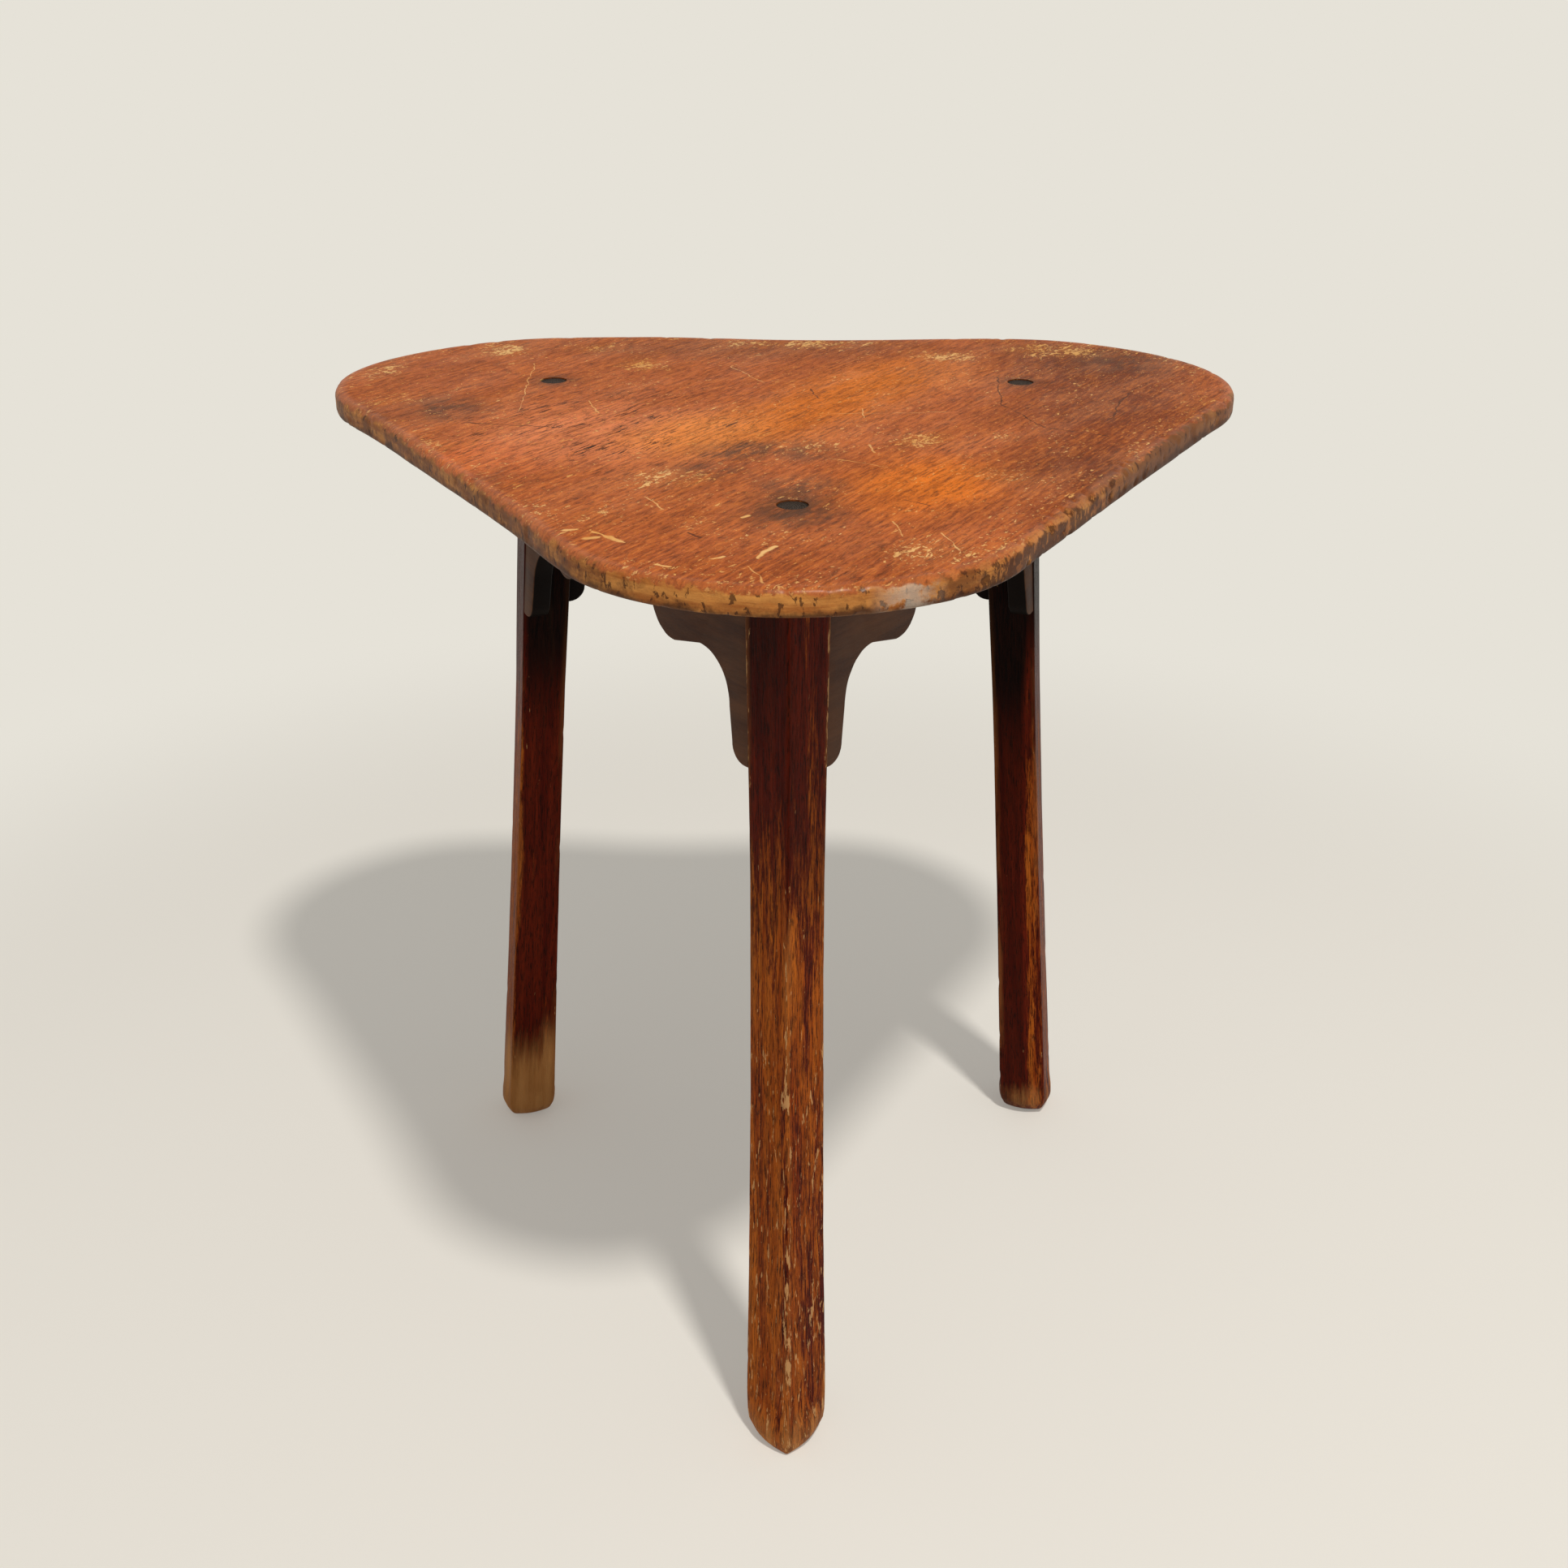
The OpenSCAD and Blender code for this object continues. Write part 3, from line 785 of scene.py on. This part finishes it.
def table_board():
    bm = bmesh.new()
    face = board_outline(bm)
    ring = list(face.verts)
    if face.normal.z < 0:
        ring.reverse()
    moved = []
    for i, vert in enumerate(ring):
        along = ring[(i + 1) % len(ring)].co - ring[i - 1].co
        moved.append(vert.co + along.cross(UP).normalized() * hand_cut(vert.co))
    for vert, place in zip(ring, moved):
        vert.co = place

    upper = raise_face(bm, face, UP * TOP_THICKNESS)
    upper_edges = list(upper.edges)
    lower_edges = [e for e in bm.edges if all(v.co.z < UNDERSIDE + FIT for v in e.verts)]
    round_edges(bm, upper_edges, UPPER_ROUND, UPPER_ROUND_STEPS)
    round_edges(bm, lower_edges, LOWER_ROUND, LOWER_ROUND_STEPS)
    wall_height = TOP_THICKNESS - UPPER_ROUND - LOWER_ROUND - FIT
    walls = [e for e in bm.edges if abs(e.verts[0].co.z - e.verts[1].co.z) > wall_height]
    bmesh.ops.subdivide_edges(bm, edges=walls, cuts=WALL_CUTS, use_grid_fill=True)

    # Rings inside the rim carry the distance from the edge
    rim = bm.verts.layers.float.new("rim")
    upper = max(bm.faces, key=lambda f: (len(f.verts), f.calc_center_median().z))
    reach = UPPER_ROUND
    for vert in upper.verts:
        vert[rim] = reach
    for step in RIM_RINGS:
        bmesh.ops.inset_region(bm, faces=[upper], thickness=step, use_even_offset=True)
        reach += step
        for vert in upper.verts:
            vert[rim] = reach
    cut_grid(bm, [upper], PAINT_SPACING)
    for vert in bm.verts:
        if UNDERSIDE + LOWER_ROUND < vert.co.z < TABLE_HEIGHT - FIT:
            drop = min(UPPER_ROUND, TABLE_HEIGHT - vert.co.z)
            vert[rim] = UPPER_ROUND - math.sqrt(max(0.0, 2 * UPPER_ROUND * drop - drop * drop))

    # Wear of the rim: chips pull the surface in
    bm.normal_update()
    for vert in bm.verts:
        if vert[rim] < UPPER_ROUND + RIM_RINGS[0] - FIT and vert.co.z > UNDERSIDE + FIT:
            vert.co = vert.co - vert.normal * chip_depth(vert.co)
    return as_object("table_board", bm)


def clear_of_rim(board):
    """The edges of the peg bores lie well inside the rim, so they take its greatest distance."""
    inside = UPPER_ROUND + sum(RIM_RINGS)
    rim = board.data.attributes["rim"].data
    for leg in LEG_TURN:
        middle = peg_middle(leg)
        for vert in board.data.vertices:
            if (vert.co - middle).length < 2 * PEG_RADIUS:
                rim[vert.index].value = inside


def oval(point, middle, reach, turn):
    """A soft oval on the top: 1 in its middle, 0 past its reach."""
    off = Vector((point.x, point.y)) - Vector(middle) * MM
    off.rotate(Matrix.Rotation(-math.radians(turn), 2))
    return smooth_step(1.0, 0.15, math.hypot(off.x / reach[0], off.y / reach[1]) / MM)


def paint_board(board):
    """Puts the varnish's broad patches of colour, a painted sheen among them, and the masks of its marks on
    the mesh.
    """
    halos = []
    for leg, reach in PEG_HALO.items():
        middle = peg_middle(leg) / MM
        halos.append(((middle.x, middle.y), (reach, reach), 0, 1.0))
    marks = {
        "worn": WORN_SPOTS, "smudge": DARK_SMUDGES, "halo": halos, "porous": POROUS,
        "bare_side": BARE_SIDE, "dark_side": DARK_SIDE, "rough_side": ROUGH_SIDE,
        "scuffed_side": SCUFFED_SIDE,
    }
    layers = board.data.attributes
    layers.new("varnish_and_sheen", "FLOAT_COLOR", "POINT")
    for name in marks:
        layers.new(name, "FLOAT", "POINT")
    varnish_and_sheen = layers["varnish_and_sheen"].data
    masks = {name: layers[name].data for name in marks}
    for vert in board.data.vertices:
        sway = Vector((rough(vert.co, 50 * MM, 21), rough(vert.co, 50 * MM, 23), 0))
        place = vert.co + sway * PAINT_SWAY
        colour = Vector(VARNISH)
        for middle, reach, turn, paint, strength in TOP_PATCHES:
            colour = colour.lerp(Vector(paint), strength * oval(place, middle, reach, turn))
        varnish_and_sheen[vert.index].color = colour
        for name, ovals in marks.items():
            masks[name][vert.index].value = max(
                strength * oval(vert.co, middle, reach, turn) for middle, reach, turn, strength in ovals
            )


# The legs

LEG_ROW_SPACING = 7 * MM
LEG_FACE_CUTS = 8
LEG_CORNER_RADIUS = 1.2 * MM
LEG_CORNER_STEPS = 4
# Feet: height of the round at the floor, the share that goes in, less at the front tip, and a barrel above
FOOT_ROUND = 20 * MM
FOOT_ROUND_SHARE = 0.8
FRONT_TIP_KEPT = 0.6
FOOT_ROWS = (1.2 * MM, 2.6 * MM, 4.4 * MM)
FOOT_BARREL_HEIGHT = 48 * MM
FOOT_BARREL_SHARE = 0.6
FOOT_BARREL_RADIUS = 29.5 * MM
# Chips: height in millimetres, place on the unit square with a corner along X, radius in millimetres
LEG_CHIPS = {
    "front": ((337, (0.5, -0.5), 6), (313, (0.9, -0.1), 7), (83, (1.0, 0.0), 6)),
    "back_left": ((519, (-0.15, 0.85), 6),),
    "back_right": ((403, (0.03, -0.97), 6),),
}
LEG_CHIP_DEPTH = 0.8 * MM
# How deep the arrises are rubbed in long and in short stretches, and how far the faces wave
ARRIS_RUB = 0.3 * MM
ARRIS_NICK = 0.8 * MM
FACE_WAVE = 0.35 * MM
# Heights in millimetres: where the painted shade under the top sets in and is full, and where a foot's
# finish thins and is gone
LEG_PAINTED_SHADE = {"front": (430, 600), "back_right": (380, 560), "back_left": (380, 560)}
FOOT_BARE = {"front": (58, 8), "back_right": (50, 24), "back_left": (140, 30)}
FOOT_BARE_MOST = {"front": 0.5, "back_right": 0.33, "back_left": 1.0}


def leg_half(drop):
    """Half the side of a leg at a distance down from its top."""
    foot_start = LEG_LENGTH - LEG_FOOT_HEIGHT
    if drop <= LEG_WAIST_DROP:
        return LEG_TOP_HALF + (LEG_WAIST_HALF - LEG_TOP_HALF) * drop / LEG_WAIST_DROP
    share = min(1.0, (drop - LEG_WAIST_DROP) / (foot_start - LEG_WAIST_DROP))
    return LEG_WAIST_HALF + (LEG_FOOT_HALF - LEG_WAIST_HALF) * share ** LEG_FLARE_POWER


def span(limits, height):
    """The share, from 0 to 1, of the way between two heights given in millimetres."""
    return smooth_step(limits[0] * MM, limits[1] * MM, height)


def leg_wear(leg, height, flank):
    """How far the stain is worn at a height, at a spot of the leg's unit square with a corner along X.
    Below zero the colour darkens towards black: painted shade, strongest up under the top.
    """
    # How far up the leg the painted shade under the top has come, from 0 to 1
    painted_shade = span(LEG_PAINTED_SHADE[leg], height)
    if leg == "front":
        down = span((800, 280), height)
        low = span((420, 80), height)
        left = smooth_step(0.1, -0.4, flank.y)
        # The front leg's left face gets more painted shade near the top, and more wear lower down
        return -(0.10 + 0.24 * left) * painted_shade + (0.43 + 0.06 * left) * down + (0.22 * left - 0.14) * low
    # The outer face is rubbed, and on the right leg the wear runs on round its front corner
    inner = max(0.0, -flank.x)
    towards_front = flank.y if leg == "back_left" else -flank.y
    hidden = smooth_step(-0.05, -0.4, towards_front)
    # Faces turned away from the front get less of the painted shade
    painted_shade *= 1 - 0.6 * hidden
    if leg == "back_left":
        strip = smooth_step(0.14, 0.04, inner) if towards_front > 0 else 0.3 * hidden
        return -0.05 - 0.38 * painted_shade + 0.46 * strip * (1 - 0.5 * painted_shade)
    reach = 0.36 - 0.13 * span((150, 500), height)
    strip = smooth_step(reach + 0.08, reach - 0.08, inner) if towards_front > 0 else 0.3 * hidden
    return -0.20 - 0.34 * painted_shade + 0.50 * strip * (1 - 0.6 * painted_shade)


def leg_chip(leg, height, flank, size):
    """How deep a spot lies in one of the leg's chips, from 0 to 1."""
    depth = 0.0
    for middle, (x, y), radius in LEG_CHIPS[leg]:
        apart = math.hypot((flank.x - x) * size, (flank.y - y) * size, (height - middle * MM) / 1.8)
        depth = max(depth, smooth_step(radius * MM, radius * MM / 4, apart))
    return depth


def leg_post(leg):
    """A square leg with a corner turned outward, worn arrises and a round foot, level at both ends."""
    bm = bmesh.new()
    bmesh.ops.create_circle(bm, cap_ends=True, segments=4, radius=1.0)
    corner = LEG_CORNER_RADIUS / (LEG_TOP_HALF * math.sqrt(2))
    bmesh.ops.bevel(
        bm, geom=bm.verts[:], offset=corner * math.sqrt(2), segments=LEG_CORNER_STEPS,
        profile=0.5, affect="VERTICES", material=-1,
    )
    sides = [e for e in bm.edges if e.calc_length() > 3 * corner]
    bmesh.ops.subdivide_edges(bm, edges=sides, cuts=LEG_FACE_CUTS)
    raise_face(bm, bm.faces[:][0], UP * UNDERSIDE)
    uprights = [e for e in bm.edges if abs(e.verts[0].co.z - e.verts[1].co.z) > UNDERSIDE / 2]
    bmesh.ops.subdivide_edges(
        bm, edges=uprights, cuts=round(UNDERSIDE / LEG_ROW_SPACING), use_grid_fill=True
    )
    for height in FOOT_ROWS:
        bmesh.ops.bisect_plane(
            bm, geom=everything(bm), dist=CUT_SLACK, plane_co=(0, 0, height), plane_no=UP
        )

    bar = bm.verts.layers.float_vector.new("bar")
    wear = bm.verts.layers.float.new("wear")
    bare = bm.verts.layers.float.new("bare")
    arris = bm.verts.layers.float.new("arris")
    flecked = bm.verts.layers.float.new("flecked")
    turn = Matrix.Rotation(math.radians(LEG_TURN[leg]), 3, "Z")
    seed = LEG_TURN[leg] / 10
    for vert in bm.verts:
        height = vert.co.z
        drop = (UNDERSIDE - height) / math.cos(LEG_SPLAY)
        corner_near = smooth_step(0.87, 0.96, math.hypot(vert.co.x, vert.co.y))
        size = leg_half(drop) * math.sqrt(2)
        across = Vector((vert.co.x * size, vert.co.y * size, 0))
        along = Vector((across.x, across.y, height))
        rub = ARRIS_RUB * max(0.0, rough(along, 35 * MM, seed))
        rub += ARRIS_NICK * smooth_step(0.35, 0.8, rough(along, 12 * MM, seed + 3))
        face_wave = FACE_WAVE * rough(Vector((across.x, across.y, height / 4)), 30 * MM, seed + 5)
        # Where the painted shade under the top lies, the arrises are rubbed less
        painted_shade = span(LEG_PAINTED_SHADE[leg], height)
        chip = leg_chip(leg, height, vert.co, size)
        worn_off = corner_near * rub * (1 - 0.85 * painted_shade) + LEG_CHIP_DEPTH * chip
        across -= across.normalized() * (worn_off - face_wave)
        barrel = FOOT_BARREL_SHARE * smooth_step(FOOT_BARREL_HEIGHT, FOOT_BARREL_HEIGHT / 6, height)
        across = across.lerp(across.normalized() * FOOT_BARREL_RADIUS, barrel)
        if height < FOOT_ROUND:
            lift = 1 - height / FOOT_ROUND
            inset = FOOT_ROUND * FOOT_ROUND_SHARE * (1 - math.sqrt(1 - lift * lift))
            if leg == "front":
                inset *= 1 - FRONT_TIP_KEPT * max(0.0, vert.co.x)
            across -= across.normalized() * inset
        vert[bar] = Vector((height, across.x + seed, across.y))
        vert[wear] = leg_wear(leg, height, vert.co)
        vert[bare] = FOOT_BARE_MOST[leg] * span(FOOT_BARE[leg], height)
        vert[arris] = corner_near * (1 - 0.9 * painted_shade)
        vert[flecked] = 0.12 + 0.09 * vert[arris] + 0.26 * chip
        if leg == "front":
            # Its side corners are rubbed bare beside the brackets
            beside = corner_near * smooth_step(0.6, 0.9, abs(vert.co.y)) * span((510, 560), height)
            vert[arris] = max(vert[arris], beside)
            vert[flecked] += 0.17 * span((600, 200), height) + 0.28 * beside
        reach = LEG_TOP_REACH + (UNDERSIDE - height) * math.tan(LEG_SPLAY)
        place = turn @ Vector((reach + across.x / math.cos(LEG_SPLAY), across.y, 0))
        vert.co = Vector((LEG_RING.x + place.x, LEG_RING.y + place.y, height))
    bmesh.ops.recalc_face_normals(bm, faces=bm.faces[:])
    return as_object("post_" + leg, bm)


# The brackets

BRACKET_SPACING = 3 * MM
BRACKET_EDGE_ROUND = 1.4 * MM
BRACKET_EDGE_STEPS = 3
# How far the blank runs into the leg and up past the underside, before both are cut off
BRACKET_ROOT = 6 * MM
BRACKET_HEAD = 30 * MM
BRACKET_WAVE = 0.5 * MM
BRACKET_RIPPLE = 0.25 * MM
BRACKET_SWELL = 0.2 * MM
# How much painted shade darkens the brackets of each leg, and the share of it left on a bracket's outer
# face
BRACKET_PAINTED_SHADE = {"front": 0.0, "back_right": 0.97, "back_left": 0.97}
BRACKET_FACE_PAINTED_SHADE = 0.1


def bracket_blank(bm, lobe):
    """Side view of a bracket in X and Z: from its root over the arm, round the nose and down the tail."""
    across = Vector((0, -1, 0))
    neck = -lobe + BRACKET_NECK_RISE
    tail_end = -lobe - BRACKET_TAIL
    nose = Vector((BRACKET_ARM - BRACKET_NOSE_RADIUS, 0, -lobe + BRACKET_NOSE_RADIUS))
    sweep = Vector((BRACKET_TAIL_WIDTH + BRACKET_SWEEP_RADIUS, 0, neck - BRACKET_SWEEP_RADIUS))
    tail = Vector((BRACKET_TAIL_WIDTH - BRACKET_TAIL_SLOPE - BRACKET_TAIL_RADIUS, 0,
                   tail_end + BRACKET_TAIL_RADIUS))
    end = bmesh.ops.create_vert(bm, co=(-BRACKET_ROOT, 0, tail_end))["vert"][0]
    end = line_on(bm, end, Vector((-BRACKET_ROOT, 0, BRACKET_HEAD)))
    end = line_on(bm, end, Vector((BRACKET_ARM, 0, BRACKET_HEAD)))
    end = line_on(bm, end, Vector((BRACKET_ARM, 0, nose.z)))
    end = arc_on(bm, end, nose, -90, BRACKET_SPACING, axis=across)
    end = line_on(bm, end, Vector((sweep.x, 0, neck)))
    end = arc_on(bm, end, sweep, 90, BRACKET_SPACING, axis=across)
    end = line_on(bm, end, Vector((tail.x + BRACKET_TAIL_RADIUS, 0, tail.z)))
    end = arc_on(bm, end, tail, -90, BRACKET_SPACING, axis=across)
    line_on(bm, end, Vector((-BRACKET_ROOT, 0, tail_end)))
    return close_chain(bm)


def bracket_board(name, leg, hand):
    bm = bmesh.new()
    face = bracket_blank(bm, BRACKET_LOBE[leg])
    raise_face(bm, face, Vector((0, BRACKET_THICKNESS, 0)))
    rims = [e for e in bm.edges if abs(e.verts[0].co.y - e.verts[1].co.y) < FIT]
    round_edges(bm, rims, BRACKET_EDGE_ROUND, BRACKET_EDGE_STEPS)

    board = bm.verts.layers.float_vector.new("board")
    arris = bm.verts.layers.float.new("arris")
    painted_shade = bm.verts.layers.float.new("painted_shade")
    seed = 0.1 * sorted(BRACKETS).index(name)
    bm.normal_update()
    for vert in bm.verts:
        vert[board] = Vector((vert.co.x + seed, vert.co.y, vert.co.z))
        outer_face = vert.co.y < BRACKET_EDGE_ROUND / 4
        vert[painted_shade] = BRACKET_PAINTED_SHADE[leg] * (BRACKET_FACE_PAINTED_SHADE if outer_face else 1.0)
        edge_near = min(vert.co.y, BRACKET_THICKNESS - vert.co.y)
        vert[arris] = smooth_step(2.2 * MM, 0.3 * MM, edge_near) if edge_near > 0.01 * MM else 0.4
        wave = BRACKET_WAVE * rough(vert.co, 32 * MM, 3 + 40 * seed)
        wave += BRACKET_RIPPLE * rough(vert.co, 9 * MM, 5 + 40 * seed)
        vert.co = vert.co - vert.normal * max(-BRACKET_SWELL, wave)

    # Into the leg's frame, with the root on the leg's inner face; the other hand is a mirror image
    root = Vector((0, LEG_TOP_HALF * math.sqrt(2), 0)) + heading(225) * BRACKET_INSET
    place = Matrix.Translation(root) @ Matrix.Rotation(BRACKET_TURN, 4, "Z")
    bm.transform(place)
    leg_face = heading(135)
    taper = (LEG_TOP_HALF - LEG_WAIST_HALF) / LEG_WAIST_DROP
    cut_away(bm, leg_face * (LEG_TOP_HALF + FIT), -(leg_face - UP * taper))
    if hand < 0:
        bm.transform(Matrix.Scale(-1, 4, (0, 1, 0)))
    bm.transform(leg_frame(leg))
    cut_away(bm, Vector((0, 0, UNDERSIDE)), UP)
    bmesh.ops.remove_doubles(bm, verts=bm.verts[:], dist=CUT_WELD)
    bmesh.ops.recalc_face_normals(bm, faces=bm.faces[:])
    return as_object(name.replace("bracket", "knee"), bm)


# The pegs

PEG_SEGMENTS = 48
PEG_END_ROUND = 0.9 * MM
PEG_END_STEPS = 3
PEG_END_RINGS = (1.5 * MM, 2 * MM, 2 * MM, 2 * MM)
PEG_END_WEAR = 0.35 * MM


def peg_bar(leg, radius, depth, top):
    """A round bar along the leg's axis, from a depth in the leg up to a height where it is cut level."""
    bm = bmesh.new()
    length = depth + 3 * TOP_THICKNESS
    bmesh.ops.create_cone(
        bm, cap_ends=True, cap_tris=False, segments=PEG_SEGMENTS,
        radius1=radius, radius2=radius, depth=length,
    )
    lift = PEG_PLACE[leg] + UP * (length / 2 - depth)
    bm.transform(leg_frame(leg) @ Matrix.Translation(lift))
    return bm, cut_away(bm, Vector((0, 0, top)), UP)


def peg_cutter(leg):
    bm, _ = peg_bar(leg, PEG_RADIUS + FIT, PEG_DEPTH + FIT, TABLE_HEIGHT + TOP_THICKNESS)
    return as_object("cutter_" + leg, bm)


def peg_pin(leg):
    bm, end = peg_bar(leg, PEG_RADIUS, PEG_DEPTH, TABLE_HEIGHT - PEG_RECESS)
    round_edges(bm, list(end.edges), PEG_END_ROUND, PEG_END_STEPS)
    end = max((f for f in bm.faces if f.normal.z > 0.99), key=lambda f: f.calc_area())
    for step in PEG_END_RINGS:
        bmesh.ops.inset_region(bm, faces=[end], thickness=step, use_even_offset=True)
    place = bm.verts.layers.float_vector.new("round")
    middle = peg_middle(leg)
    for vert in bm.verts:
        vert[place] = vert.co - middle
        if vert.co.z > TABLE_HEIGHT - PEG_RECESS - FIT:
            vert.co.z -= PEG_END_WEAR * (0.5 + 0.5 * rough(vert.co, 7 * MM, 13 + LEG_TURN[leg]))
    bmesh.ops.recalc_face_normals(bm, faces=bm.faces[:])
    return as_object("pin_" + leg, bm)


# Putting the pieces in place

board = table_board()
posts = {leg: leg_post(leg) for leg in LEG_TURN}
cutters = {leg: peg_cutter(leg) for leg in LEG_TURN}
bored(board, list(cutters.values()))
clear_of_rim(board)
paint_board(board)
for leg, post in posts.items():
    bored(post, [cutters[leg]])
for cutter in cutters.values():
    bpy.data.objects.remove(cutter)

dressed(board, "table_top", "top_varnish")
for leg, post in posts.items():
    dressed(post, "leg_" + leg, "leg_stain")
for node, (leg, hand) in BRACKETS.items():
    dressed(bracket_board(node, leg, hand), node, "bracket_stain")
for leg in LEG_TURN:
    dressed(peg_pin(leg), "peg_" + leg, "peg_end_grain")
for node in ("bracket_top_dowels", "bracket_leg_dowels"):
    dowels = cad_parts[node]
    dowels.data.materials.clear()
    dowels.data.materials.append(MATERIALS["dowel_wood"])


# Floor, light and camera

FLOOR_COLOUR = shade(250, 246, 238)
FLOOR_REACH = 40.0
# From the middle of the table, the floor fades to the backdrop between these distances
FLOOR_FADE_START = 0.85
FLOOR_FADE_END = 1.6
FLOOR_GLOW_NEAR = 0.3
BACKDROP_COLOUR = shade(230, 226, 216)
FILL_COLOUR = (1.0, 0.98, 0.95, 1)
FILL_LEVEL = 0.32
KEY_COLOUR = (1.0, 0.97, 0.92)
KEY_PLACE = Vector((0.86, -1.87, 4.5))
KEY_AIM = Vector((0.0, 0.1, 0.4))
KEY_SIZE = 0.38
KEY_POWER = 136.0


def shown_as(s, lit, shown, share, end):
    """Shows a plain shader in a lit one's place to the camera, direct, mirrored or through glass."""
    path = s.node("LightPath")
    seen = s.most(path.outputs["Is Camera Ray"], path.outputs["Is Glossy Ray"])
    seen = s.most(seen, path.outputs["Is Transmission Ray"])
    blend = s.node("MixShader")
    s.feed(blend.inputs[0], s.times(share, seen))
    s.feed(blend.inputs[1], lit.outputs[0])
    s.feed(blend.inputs[2], shown.outputs[0])
    s.feed(end.inputs["Surface"], blend.outputs[0])


def pale_floor():
    """A wide plain floor: lit and shadowed round the table, fading into the pale backdrop far off."""
    bm = bmesh.new()
    bmesh.ops.create_grid(bm, x_segments=1, y_segments=1, size=FLOOR_REACH)
    floor = as_object("floor", bm)
    material, s, look = new_material("floor_paint")
    s.fill(look, {"Base Color": FLOOR_COLOUR, "Roughness": 0.9, "Specular IOR Level": 0.1})
    glow = s.node("Emission")
    s.fill(glow, {"Color": BACKDROP_COLOUR})
    away = s.vector("LENGTH", s.object_place())
    far = s.fade(away, FLOOR_FADE_START, FLOOR_FADE_END, FLOOR_GLOW_NEAR, 1.0)
    shown_as(s, look, glow, far, material.node_tree.nodes["Material Output"])
    floor.data.materials.append(material)


def studio_light():
    world = bpy.data.worlds.new("studio")
    bpy.context.scene.world = world
    world.use_nodes = True
    s = Shader(world.node_tree)
    fill = world.node_tree.nodes["Background"]
    s.fill(fill, {"Color": FILL_COLOUR, "Strength": FILL_LEVEL})
    backdrop = s.node("Background")
    s.fill(backdrop, {"Color": BACKDROP_COLOUR})
    shown_as(s, fill, backdrop, 1.0, world.node_tree.nodes["World Output"])

    lamp = bpy.data.lights.new("key", "AREA")
    lamp.shape = "DISK"
    lamp.size = KEY_SIZE
    lamp.energy = KEY_POWER
    lamp.color = KEY_COLOUR
    key = bpy.data.objects.new("key", lamp)
    key.location = KEY_PLACE
    key.rotation_euler = (KEY_AIM - KEY_PLACE).to_track_quat("-Z", "Y").to_euler()
    key.visible_camera = False
    bpy.context.scene.collection.objects.link(key)


CAMERA_PLACE = Vector((-28.9 * MM, -1277.3 * MM, 1074.7 * MM))
CAMERA_PITCH = 0.4529
CAMERA_YAW = 0.0205
CAMERA_ROLL = -0.0037
CAMERA_LENS = 40.97
CAMERA_SENSOR = 36
CAMERA_SIGHT = 200


def photo_camera():
    """The camera stands in front of the table, above its top, and looks down on it."""
    turn = (
        Matrix.Rotation(-CAMERA_YAW, 4, "Z")
        @ Matrix.Rotation(math.pi / 2 - CAMERA_PITCH, 4, "X")
        @ Matrix.Rotation(-CAMERA_ROLL, 4, "Z")
    )
    lens = bpy.data.cameras.new("photo_camera")
    lens.sensor_width = CAMERA_SENSOR
    lens.lens = CAMERA_LENS
    lens.clip_end = CAMERA_SIGHT
    camera = bpy.data.objects.new("photo_camera", lens)
    camera.matrix_world = Matrix.Translation(CAMERA_PLACE) @ turn
    bpy.context.scene.collection.objects.link(camera)
    bpy.context.scene.camera = camera


pale_floor()
studio_light()
photo_camera()
bpy.context.scene.view_settings.view_transform = "Standard"
